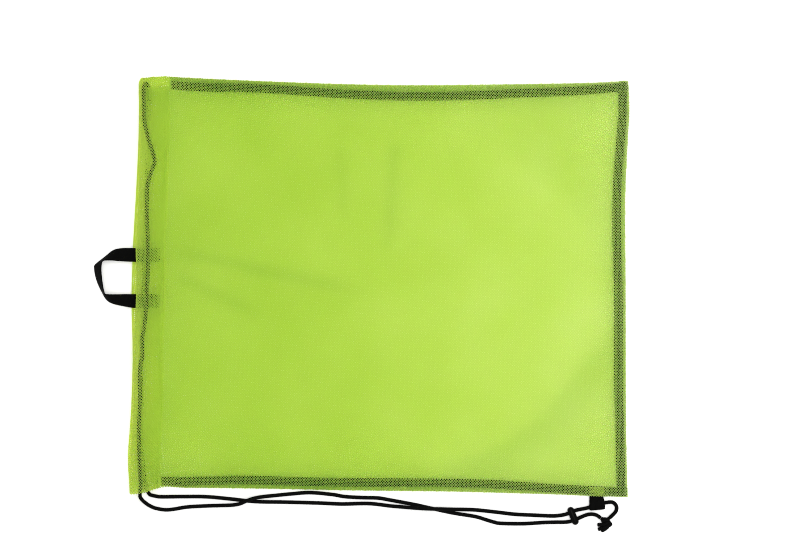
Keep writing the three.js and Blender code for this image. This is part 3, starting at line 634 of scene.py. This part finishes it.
def netYarn(side):
    # knitted polyester yarn dyed lime: matt, lets much light through;
    # painted light: the colour is lighter toward the bottom seam, and the hem's four layers would close up
    # and go dark, so the yarn there is painted paler too
    material, tree = newMaterial("knittedPolyesterNet." + side)
    place = addNode(tree, "ShaderNodeTexCoord").outputs["Object"]
    patch = addNode(tree, "ShaderNodeTexNoise", inputs={
        "Vector": place, "Scale": net["patchScale"], "Detail": 3.0})
    lengthwise = addNode(tree, "ShaderNodeSeparateXYZ", inputs={"Vector": place}).outputs["X"]
    # painted light: lighter from the mouth toward the bottom seam, standing in for stronger light on that
    # side
    paintedLightShare = addNode(tree, "ShaderNodeMapRange", inputs={
        "Value": lengthwise, "From Min": net["paintedLightX"][0] * mm, "From Max": net["paintedLightX"][1] * mm,
        "To Min": net["paintedLightShare"][0], "To Max": net["paintedLightShare"][1]})
    share = addNode(tree, "ShaderNodeMath", {"operation": "MULTIPLY_ADD", "use_clamp": True}, {
        0: patch.outputs["Fac"], 1: net["patchShare"], 2: paintedLightShare})
    flat = addNode(tree, "ShaderNodeUVMap", {"uv_map": "OFBake"})
    flatPlace = addNode(tree, "ShaderNodeSeparateXYZ", inputs={"Vector": flat})
    hemStart = (bag["length"] - bag["hemWidth"]) / clothLength
    inHem = addNode(tree, "ShaderNodeMapRange", inputs={
        "Value": flatPlace.outputs["X"], "From Min": hemStart - net["hemBlur"],
        "From Max": hemStart + net["hemBlur"]})
    tones = {}
    for kind, light in (("Colour", 1), ("Glow", net[side + "Light"])):
        mouth, seam, hem = [[light * channel for channel in toLinear(net[spot + kind])]
                            for spot in ("mouth", "seam", "hem")]
        body = addNode(tree, "ShaderNodeMix", {"data_type": "RGBA"}, {
            "Factor": share, "A": mouth, "B": seam})
        # painted light: the hem gets paler colours that lift the shade of its four layers
        tones[kind] = addNode(tree, "ShaderNodeMix", {"data_type": "RGBA"}, {
            "Factor": inHem, "A": body, "B": hem})
    # painted shade: the light through the yarn is darkened along the creases, inside the sewn edges and in
    # the corners
    paintedShade = creaseShade(tree, place, flatPlace.outputs["X"], flatPlace.outputs["Y"])
    glow = addNode(tree, "ShaderNodeMix", {"data_type": "RGBA", "blend_type": "MULTIPLY"}, {
        "Factor": paintedShade, "A": tones["Glow"], "B": toLinear(net["paintedShadeTint"])})
    along = addNode(tree, "ShaderNodeAttribute", {"attribute_name": "strandAlong"})
    turns = addNode(tree, "ShaderNodeMath", {"operation": "MULTIPLY"}, {
        0: along.outputs["Fac"], 1: 2 * math.pi / (net["twist"] * mm)})
    twist = addNode(tree, "ShaderNodeMath", {"operation": "SINE"}, {0: turns})
    yarn = reliefSurface(tree, twist, 0.12, 0.1, {
        "Base Color": tones["Colour"], "Roughness": 0.6, "Specular IOR Level": 0.2})
    through = addNode(tree, "ShaderNodeBsdfTranslucent", inputs={"Color": glow})
    both = addNode(tree, "ShaderNodeMixShader", inputs={0: net["glow"], 1: yarn, 2: through})
    addNode(tree, "ShaderNodeOutputMaterial", inputs={"Surface": both})
    return material


def strandTree(side, material):
    # guide lines become thin closed strands with a diamond section; their flat place becomes the bake map
    tree, given = newTree(side + "Strands", ("strandWide", "strandHigh"))
    share = addNode(tree, "GeometryNodeInputNamedAttribute", {"data_type": "FLOAT"}, {"Name": "strandShare"})
    lines = addNode(tree, "GeometryNodeMeshToCurve", inputs={"Mesh": given.outputs["guide"]})
    upright = addNode(tree, "GeometryNodeSetCurveNormal", {"mode": "Z_UP"}, {"Curve": lines})
    half = addNode(tree, "ShaderNodeMath", {"operation": "MULTIPLY"}, {
        0: given.outputs["strandHigh"], 1: 0.5})
    section = addNode(tree, "GeometryNodeCurvePrimitiveQuadrilateral", {"mode": "KITE"}, {
        "Width": given.outputs["strandWide"], "Bottom Height": half, "Top Height": half})
    tube = addNode(tree, "GeometryNodeCurveToMesh", inputs={
        "Curve": upright, "Profile Curve": section,
        "Scale": share, "Fill Caps": True})
    flat = addNode(tree, "GeometryNodeInputNamedAttribute", {"data_type": "FLOAT_VECTOR"}, {
        "Name": "flatPlace"})
    facing = addNode(tree, "GeometryNodeInputNormal")
    spread = addNode(tree, "ShaderNodeVectorMath", {"operation": "MULTIPLY_ADD"}, {
        0: facing.outputs["Normal"], 1: net["mapSpread"], 2: flat})
    stored = addNode(tree, "GeometryNodeStoreNamedAttribute", {"data_type": "FLOAT2", "domain": "CORNER"}, {
        "Geometry": tube, "Name": "OFBake", "Value": spread})
    return paintedTree(tree, stored, material)


def edgeSteps(length, near, far, step):
    # places to bend a strand: close together by the sewn edges, even between them
    count = max(int(round((length - near[-1] - far[-1]) / step)), 1)
    middle = np.linspace(near[-1], length - far[-1], count + 1)[1:-1]
    return np.concatenate([near, middle, length - np.array(far[::-1])])


def panelGuides(side):
    # every strand is a line along * place + over * across = number on the flat cloth, across in millimetres
    step = net[side + "Step"]
    turn = math.radians(net[side + "TurnDeg"])
    rimSteps = net[side + "Rim"]
    acrossBreaks = edgeSteps(bag["width"], rimSteps, rimSteps, step)
    bodyEnd = bag["length"] - bag["hemWidth"] - net["hemLead"]
    alongBreaks = np.concatenate([
        edgeSteps(bodyEnd, rimSteps, [0], step), [outerEnd - net["foldLead"]],
        outerEnd + np.linspace(0, math.pi, net["foldSteps"]) * hemFoldRadius,
        [innerStart + net["foldLead"], innerFlat, sewnPlace]])
    lines = []
    for slant in (1, -1):
        straight = (slant / net["pitchLong"], 1 / net["pitchAcross"])
        along = straight[0] * math.cos(turn) - straight[1] * math.sin(turn)
        over = straight[0] * math.sin(turn) + straight[1] * math.cos(turn)
        corners = [along * place + over * edge for place in (0, clothLength) for edge in (0, bag["width"])]
        for number in range(math.ceil(min(corners)), math.floor(max(corners)) + 1):
            ends = [(number - over * edge) / along for edge in (0, bag["width"])]
            start, stop = max(min(ends), 0), min(max(ends), clothLength)
            if stop - start < net["shortest"]:
                continue
            crossings = (number - over * acrossBreaks) / along
            places = np.concatenate([[start, stop], alongBreaks, crossings])
            places = np.unique(places[(places >= start) & (places <= stop)])
            keep = np.concatenate([[True], np.diff(places) > net["closest"]])
            keep[-1] = True
            places = places[keep]
            across = np.clip((number - along * places) / over / bag["width"], 0, 1)
            laid = clothPoint(side, places, across)
            laid[:, 2] += slant * net["apart"]
            lines.append((laid, np.stack([places / clothLength, across, np.zeros_like(across)], axis=1)))
    return lines


def allowanceGuides():
    # the seam allowance turned in along the three sewn edges, two net layers drawn as one of half the pitch,
    # and the line of the fold itself
    start, width = bag["tapeStart"], bag["width"]
    edges = (
        (bag["length"] - start, lambda along, deep: (start + along, deep / width)),
        (width, lambda along, deep: (bag["length"] - deep, along / width)),
        (bag["length"] - start, lambda along, deep: (start + along, 1 - deep / width)),
    )
    deep = np.linspace(allowance["from"], allowance["deep"], allowance["bends"])
    lines = []

    def lay(run, across, lift):
        x = planX(backMouthEdge, run, across)
        y = mix(lowerY(run), upperY(run), across)
        z = backLift(run, across) + allowance["lift"] + lift
        flat = np.stack([(bag["length"] - run) / clothLength, across, np.zeros_like(across)], axis=1)
        lines.append((np.stack([x, y, z], axis=1), flat))

    for length, spot in edges:
        for slant in (1, -1):
            for first in np.arange(0, length, net["pitchLong"] / 2):
                along = np.clip(first + slant * deep * net["pitchLong"] / net["pitchAcross"], 0, length)
                lay(*spot(along, deep), slant * allowance["apart"])
        along = np.linspace(0, length, int(length / allowance["foldStep"]))
        lay(*spot(along, np.full_like(along, allowance["foldDeep"])), allowance["foldLift"])
    return lines


def makeNet(side, name, lines):
    piece = guideLines(name, [laid for laid, _ in lines])
    flat = np.vstack([place for _, place in lines]).astype(np.float32)
    along = np.concatenate([lengthsAlong(laid) for laid, _ in lines]).astype(np.float32) * mm
    # beyond the tunnel's upper end there is one layer only, and the strands keep their width
    inHem = flat[:, 0] * clothLength > bag["length"] - bag["hemWidth"]
    inHem &= (1 - flat[:, 1]) * bag["width"] > bag["hemEndInset"]
    share = np.where(inHem, net[side + "HemShare"], 1).astype(np.float32)
    piece.data.attributes.new("flatPlace", "FLOAT_VECTOR", "POINT").data.foreach_set("vector", flat.ravel())
    piece.data.attributes.new("strandAlong", "FLOAT", "POINT").data.foreach_set("value", along)
    piece.data.attributes.new("strandShare", "FLOAT", "POINT").data.foreach_set("value", share)
    bakeNodes(piece, strandTree(side, netYarn(side)), {
        "strandWide": net[side + "Wide"] * mm, "strandHigh": net["strandHigh"] * mm})
    piece.data.shade_flat()
    piece.data.calc_loop_triangles()
    print(name, len(lines), "strands,", len(piece.data.loop_triangles), "triangles")
    return standFor(piece, f"{side}_panel")


frontNet = makeNet("front", "frontNet", panelGuides("front") + allowanceGuides())
backNet = makeNet("back", "backNet", panelGuides("back"))
print("net panels laid")

# The black seam tape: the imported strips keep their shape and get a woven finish
tape = {
    # light: the painted sheen on the threads' crowns
    "colour": "#060606", "light": "#0e0e0d", "threads": (0.55, 0.55), "roughness": 0.85,
    "relief": 0.4, "reliefDeep": 0.2,
}


def wovenYarn(name, given, uvMap=None):
    # threads both ways, with a painted sheen that makes their crowns a little lighter; the pattern lies on a
    # UV map in millimetres, or without one on the piece's own metres
    material, tree = newMaterial(name)
    if uvMap:
        place = addNode(tree, "ShaderNodeUVMap", {"uv_map": uvMap})
    else:
        place = addNode(tree, "ShaderNodeTexCoord").outputs["Object"]
    bandWide = 2 * math.pi / 20 / (1 if uvMap else mm)  # the wave texture's own spacing at a scale of 1
    warp, weft = [
        addNode(tree, "ShaderNodeTexWave", {"bands_direction": direction}, {
            "Vector": place, "Scale": bandWide / spacing})
        for direction, spacing in zip("XY", given["threads"])]
    both = addNode(tree, "ShaderNodeMath", {"operation": "MULTIPLY"}, {
        0: warp.outputs["Fac"], 1: weft.outputs["Fac"]})
    # painted sheen: the threads' crowns, where the relief is highest, get the lighter colour
    colour = addNode(tree, "ShaderNodeMix", {"data_type": "RGBA"}, {
        "Factor": both, "A": toLinear(given["colour"]), "B": toLinear(given["light"])})
    woven = reliefSurface(tree, both, given["relief"], given["reliefDeep"], {
        "Base Color": colour, "Roughness": given["roughness"], "Specular IOR Level": 0.03})
    addNode(tree, "ShaderNodeOutputMaterial", inputs={"Surface": woven})
    return material


# plain-woven polyester tape: matt black, fine rows of threads both ways
tapeMaterial = wovenYarn("wovenPolyesterTape", tape)
for name in ("seam_binding_low", "seam_binding_end", "seam_binding_high"):
    nodes[name].data.materials.clear()
    nodes[name].data.materials.append(tapeMaterial)
print("seam tape finished")

# The webbing loop and the webbing tab
webbing = {
    # light: the painted sheen on the ribs' crowns
    "thick": 1.4, "colour": "#060606", "light": "#0f0f0e", "threads": (1.3, 1.1), "roughness": 0.8,
    "relief": 0.5, "reliefDeep": 0.3, "acrossSteps": 10, "spanSteps": 10, "foldSteps": 13, "legGap": 0.6,
    "tabTipLeft": -270.2, "tabTipRight": -268.6, "tabGap": 5.5, "tabRootRight": 269.4,
}
legZ = hemHeight + webbing["legGap"] + webbing["thick"] / 2
# the loop's inner and outer edge, from one sewn end round to the other
handleRows = [
    ((-263, 29.2, legZ), (-263, 46, legZ)), ((-292, 28.9, legZ), (-292, 45.7, legZ)),
    ((-309, 29.6, 9.8), (-309.5, 45.4, 7)), ((-321, 30.6, 12.6), (-320.5, 42.6, 3)),
    ((-330, 30, 14.6), (-332, 33.4, 1)), ((-331.6, 25.4, 15.4), (-342, 25.6, 0.9)),
    ((-331.9, 18, 15.4), (-342.9, 20.4, 0.9)), ((-331.1, 9, 15.4), (-341.6, 12, 0.9)),
    ((-330, 1, 15.4), (-338.6, 2.6, 0.9)), ((-328.9, -5.6, 15.4), (-333.8, -7, 0.9)),
    ((-327.6, -9.2, 14.6), (-327.4, -17.4, 1)), ((-319, -9.9, 12.4), (-319.6, -21.6, 2.8)),
    ((-306, -9.7, 9.8), (-306, -24.6, 5.6)), ((-292, -9.7, legZ), (-292, -26.4, legZ)),
    ((-263, -9.7, legZ), (-263, -26.5, legZ)),
]


def stripPiece(name, node, grid, material):
    # a closed strip of webbing from a grid of points on its middle surface, with soft edges
    grid = np.asarray(grid)
    rows, columns = grid.shape[:2]
    normal = np.cross(np.gradient(grid, axis=0), np.gradient(grid, axis=1))
    normal /= np.linalg.norm(normal, axis=2)[:, :, None]
    edge = np.abs(np.linspace(-1, 1, columns))
    half = webbing["thick"] / 2 * np.sqrt(np.clip(1.04 - edge ** 8, 0.04, 1))[None, :, None]
    # each ring runs along the lower face and back along the upper one
    points = np.concatenate([grid - normal * half, (grid + normal * half)[:, ::-1]], axis=1)
    sides, end = 2 * columns, (rows - 1) * 2 * columns
    faces = tubeFaces(rows, sides)
    for low in range(columns - 1):
        high = sides - 1 - low
        faces.append((high, high - 1, low + 1, low))
        faces.append((end + high - 1, end + high, end + low, end + low + 1))
    piece = meshObject(name, points.reshape(-1, 3), faces, material)
    wide = np.linspace(0, np.linalg.norm(grid[0, -1] - grid[0, 0]), columns)
    uv = np.stack(np.meshgrid(wide, lengthsAlong(grid[:, columns // 2])), axis=-1)
    paintUv(piece, np.concatenate([uv, uv[:, ::-1]], axis=1).reshape(-1, 2))
    standFor(piece, node)


def handleGrid():
    inner, outer = [curvePoints([row[edge] for row in handleRows], webbing["spanSteps"]) for edge in (0, 1)]
    shares = np.linspace(0, 1, webbing["acrossSteps"])[None, :, None]
    return outer[:, None] * (1 - shares) + inner[:, None] * shares


def tabGrid():
    edgeY = float(lowerY((bag["tabLeft"] + bag["tabRight"]) / 2 - bag["mouthX"]))
    thick = webbing["thick"]
    rootZ = bag["cloth"] + bag["seamRise"] + bag["sewnGap"] + thick / 2
    upperZ = rootZ + thick + bag["sewnGap"]
    lowZ = thick / 2
    radius = (webbing["tabGap"] + thick) / 2
    centreY = (webbing["tabTipLeft"] + webbing["tabTipRight"]) / 2 + radius + thick / 2
    slope = (webbing["tabTipRight"] - webbing["tabTipLeft"]) / (bag["tabRight"] - bag["tabLeft"])
    middleX = (bag["tabLeft"] + bag["tabRight"]) / 2
    section = [(edgeY + 0.6, rootZ), (edgeY - 0.4, rootZ - 0.1), (edgeY - 3, lowZ + 1.2), (edgeY - 6.5, lowZ)]
    for angle in np.linspace(0, math.pi, webbing["foldSteps"]):
        section.append((centreY - radius * math.sin(angle), lowZ + radius * (1 - math.cos(angle))))
    topZ = lowZ + 2 * radius
    section += [(edgeY - 6.5, topZ), (edgeY - 3, topZ - 0.9)]
    section += [(edgeY - 0.4, upperZ + 0.1), (edgeY + 0.6, upperZ)]
    grid = []
    for y, z in section:
        right = mix(webbing["tabRootRight"], bag["tabRight"], smooth(edgeY, edgeY - 9, y))
        tipped = slope * smooth(edgeY, centreY, y)
        places = np.linspace(right, bag["tabLeft"], webbing["acrossSteps"])
        grid.append([(x, y + tipped * (x - middleX), z) for x in places])
    return grid


# woven polypropylene webbing: near black, ribs along its length crossed by fine picks
webbingMaterial = wovenYarn("wovenPolypropyleneWebbing", webbing, "cloth")
stripPiece("webbingLoop", "handle_loop", handleGrid(), webbingMaterial)
stripPiece("webbingTab", "cord_tab", tabGrid(), webbingMaterial)
print("webbing sewn on")

# The sewing thread: short stitches along guide lines
thread = {
    "colour": "#c3e05a", "wide": 0.5, "pitch": 2.6, "filled": 0.92,
    "hemSteps": 60, "hemInset": 1.5, "hemSpan": (0.01, 0.965), "frontLift": 0.5, "backLift": -0.2,
    "tackPitch": 1.0, "tackLeft": 252.5, "tackRight": 271, "tackFrom": 0.6, "tackDeep": 10.5,
    "tackRows": 7, "tackSteps": 6, "tackLift": 0.4, "seamBow": 2,
}


def spunThread():
    # spun polyester thread dyed to match the net: matt with a soft fuzz
    material, tree = newMaterial("spunPolyesterThread")
    coords = addNode(tree, "ShaderNodeTexCoord")
    fuzz = addNode(tree, "ShaderNodeTexNoise", inputs={"Vector": coords.outputs["Object"], "Scale": 2500.0})
    spun = reliefSurface(tree, fuzz.outputs["Fac"], 0.3, 0.1, {
        "Base Color": toLinear(thread["colour"]), "Roughness": 0.8, "Specular IOR Level": 0.2})
    addNode(tree, "ShaderNodeOutputMaterial", inputs={"Surface": spun})
    return material


def stitchTree(material):
    # one short stitch at each step along every guide line, turned along the line
    tree, given = newTree("stitchRow", ("pitch", "wide"))
    lines = addNode(tree, "GeometryNodeMeshToCurve", inputs={"Mesh": given.outputs["guide"]})
    steps = addNode(tree, "GeometryNodeCurveToPoints", {"mode": "LENGTH"}, {
        "Curve": lines, "Length": given.outputs["pitch"]})
    ball = addNode(tree, "GeometryNodeMeshIcoSphere", inputs={"Radius": 0.5, "Subdivisions": 2})
    long = addNode(tree, "ShaderNodeMath", {"operation": "MULTIPLY"}, {
        0: given.outputs["pitch"], 1: thread["filled"]})
    size = addNode(tree, "ShaderNodeCombineXYZ", inputs={
        "X": given.outputs["wide"], "Y": given.outputs["wide"], "Z": long})
    stitch = addNode(tree, "GeometryNodeTransform", inputs={"Geometry": ball, "Scale": size})
    rows = addNode(tree, "GeometryNodeInstanceOnPoints", inputs={
        "Points": steps, "Instance": stitch,
        "Rotation": steps.outputs["Rotation"]})
    return paintedTree(tree, rows, material)


def stitchPiece(name, lines, pitch, tree):
    piece = guideLines(name, lines)
    bakeNodes(piece, tree, {"pitch": pitch * mm, "wide": thread["wide"] * mm})
    piece.data.shade_smooth()
    standFor(piece, None)


def hemStitchLine(side):
    across = np.linspace(*thread["hemSpan"], thread["hemSteps"])
    place = bag["length"] - bag["hemWidth"] + thread["hemInset"]
    return clothPoint(side, np.full_like(across, place), across) + (0, 0, thread[side + "Lift"])


def tackLines():
    # the bar of dense zigzag stitches that holds the tab's root in the seam
    across = np.linspace(thread["tackFrom"], thread["tackDeep"], thread["tackRows"] * 2) / bag["width"]
    x = np.where(np.arange(len(across)) % 2 == 0, thread["tackLeft"], thread["tackRight"])
    line = []
    for fromX, toX, fromAcross, toAcross in zip(x[:-1], x[1:], across[:-1], across[1:]):
        for share in np.linspace(0, 1, thread["tackSteps"], endpoint=False):
            spotX, spotAcross = mix(fromX, toX, share), mix(fromAcross, toAcross, share)
            run = (spotX - bag["mouthX"]) * bag["length"] / (bag["length"] + thread["seamBow"])
            tapeTop = bag["cloth"] / 2 + bag["tapeGaps"] * bag["sewnGap"] + bag["tapeThick"]
            z = backLift(run, spotAcross) + tapeTop + thread["tackLift"]
            line.append((spotX, mix(lowerY(run), upperY(run), spotAcross), z))
    return np.array(line, dtype=float)


threadTree = stitchTree(spunThread())
stitchPiece("hemStitches", [hemStitchLine(side) for side in panels], thread["pitch"], threadTree)
stitchPiece("tabStitches", [tackLines()], thread["tackPitch"], threadTree)
print("stitches sewn")

# The cord lock: a round-ended bead with a raised lens on top and two holes for the strands
lock = {
    "length": 22.6, "thick": 8.4, "holeSpacing": 10, "hole": 5.4, "turnDeg": 22, "x": 233.2, "y": -276.4,
    "lensLong": 15, "lensWide": 4.6, "lensRise": 0.35, "lensEdge": (0.85, 1.05), "colour": "#060606",
    "sides": 32, "capSteps": 9, "holeSides": 28, "sharpDeg": 40,
}


def mouldedPlastic():
    # moulded acetal: satin black with faint flow marks
    material, tree = newMaterial("mouldedAcetal")
    coords = addNode(tree, "ShaderNodeTexCoord")
    marks = addNode(tree, "ShaderNodeTexNoise", inputs={
        "Vector": coords.outputs["Object"], "Scale": 700.0, "Detail": 4.0})
    rough = addNode(tree, "ShaderNodeMapRange", inputs={
        "Value": marks.outputs["Fac"], "To Min": 0.34, "To Max": 0.5})
    moulded = reliefSurface(tree, marks.outputs["Fac"], 0.06, 0.2, {
        "Base Color": toLinear(lock["colour"]), "Roughness": rough,
        "Specular IOR Level": 0.06})
    addNode(tree, "ShaderNodeOutputMaterial", inputs={"Surface": moulded})
    return material


def turnedSolid(profile, sides):
    # a solid turned about the Y axis from a profile of places along Y and radii, pointed at both ends
    angles = 2 * math.pi * np.arange(sides) / sides
    points = [(0, profile[0][0], 0)]
    for y, radius in profile[1:-1]:
        points += [(radius * math.cos(angle), y, radius * math.sin(angle)) for angle in angles]
    points.append((0, profile[-1][0], 0))
    rings = len(profile) - 2
    faces = []
    for side in range(sides):
        after = (side + 1) % sides
        faces.append((0, 1 + side, 1 + after))
        for ring in range(rings - 1):
            low, high = 1 + ring * sides, 1 + (ring + 1) * sides
            faces.append((low + side, high + side, high + after, low + after))
        top = 1 + (rings - 1) * sides
        faces.append((top + side, 1 + rings * sides, top + after))
    return np.array(points, dtype=float), faces


def makeLock(material):
    radius, straight = lock["thick"] / 2, (lock["length"] - lock["thick"]) / 2
    turns = np.linspace(0, math.pi / 2, lock["capSteps"])
    cap = [(straight + radius * math.cos(turn), radius * math.sin(turn)) for turn in turns]
    points, faces = turnedSolid([(-y, r) for y, r in cap] + cap[::-1], lock["sides"])
    # the lens: the top stands up a little inside a long pointed oval
    oval = np.abs(points[:, 0]) / (lock["lensWide"] / 2) + (points[:, 1] / (lock["lensLong"] / 2)) ** 2
    points[:, 2] += np.where(points[:, 2] > 0, lock["lensRise"] * (1 - smooth(*lock["lensEdge"], oval)), 0)
    piece = meshObject("toggle", points, faces, material)
    length, wide = lock["thick"], lock["hole"] / 2
    profile = [(-length, 0), (-length, wide), (length, wide), (length, 0)]
    bore, boreFaces = turnedSolid(profile, lock["holeSides"])
    cutters = []
    for side in (1, -1):
        places = np.stack([bore[:, 1], -bore[:, 0] + side * lock["holeSpacing"] / 2, bore[:, 2]], axis=1)
        cutters.append(meshObject("bore", places, boreFaces))
        modifier = piece.modifiers.new("bore", "BOOLEAN")
        modifier.operation = "DIFFERENCE"
        modifier.object = cutters[-1]
    keepEvaluated(piece, list(piece.modifiers))
    for cutter in cutters:
        bpy.data.meshes.remove(cutter.data)  # its object goes with it
    place = Matrix.Translation((lock["x"] * mm, lock["y"] * mm, radius * mm))
    piece.data.transform(place @ Matrix.Rotation(math.radians(lock["turnDeg"]), 4, "Z"))
    piece.data.update()
    piece.data.set_sharp_from_angle(angle=math.radians(lock["sharpDeg"]))
    return standFor(piece, "cord_lock")


lockPiece = makeLock(mouldedPlastic())

# The knot: both strands wrapped round and pulled tight, with two cut ends
knot = {
    "wraps": [(271.6, -280.4, 2.5, -4), (272.6, -284.2, 3.9, 8),
              (273.7, -287.8, 4.9, 20), (271.2, -291.6, 3.9, 34)],
    "z": 5.3, "flatten": 0.62, "wrapSteps": 14, "lead": (0.2, 2),
    "core": [(272.3, -284, 4.7), (272.5, -288, 4.7), (271, -292.4, 4.4)],
    "ends": [((271, -287.4, 4.4), (266, -287.2, 3.4), (262.8, -287.4, 2.6)),
             ((270, -290.4, 4), (266, -292, 3), (263.4, -292.8, 2.5))],
}


def knotShapes():
    # one cord wound slanting round two straight strands, then the cut ends
    table = np.array(knot["wraps"], dtype=float)
    count = len(table)
    wrap = []
    for place in np.linspace(-0.5, count - 0.5, knot["wrapSteps"] * count):
        x, y, ring, turnDeg = [np.interp(place, range(count), table[:, column]) for column in range(4)]
        angle, turn = 2 * math.pi * place, math.radians(turnDeg)
        aside = ring * math.cos(angle)
        wrap.append((x + aside * math.cos(turn), y + aside * math.sin(turn),
                     knot["z"] + ring * knot["flatten"] * math.sin(angle)))
    inside = []
    for shape in (frontShape, backShape):
        last, before = shape[3][-1], shape[3][-3]
        away = (last - before) / np.linalg.norm(last - before)
        inside.append([last + far * away for far in knot["lead"]] + knot["core"])
    return [cordShape(points) for points in [wrap] + inside + [list(end) for end in knot["ends"]]]


knotPiece = cordPiece("tiedKnot", "cord_knot", knotShapes(), cordMaterial)
print("lock and knot placed")

print("bag finished")
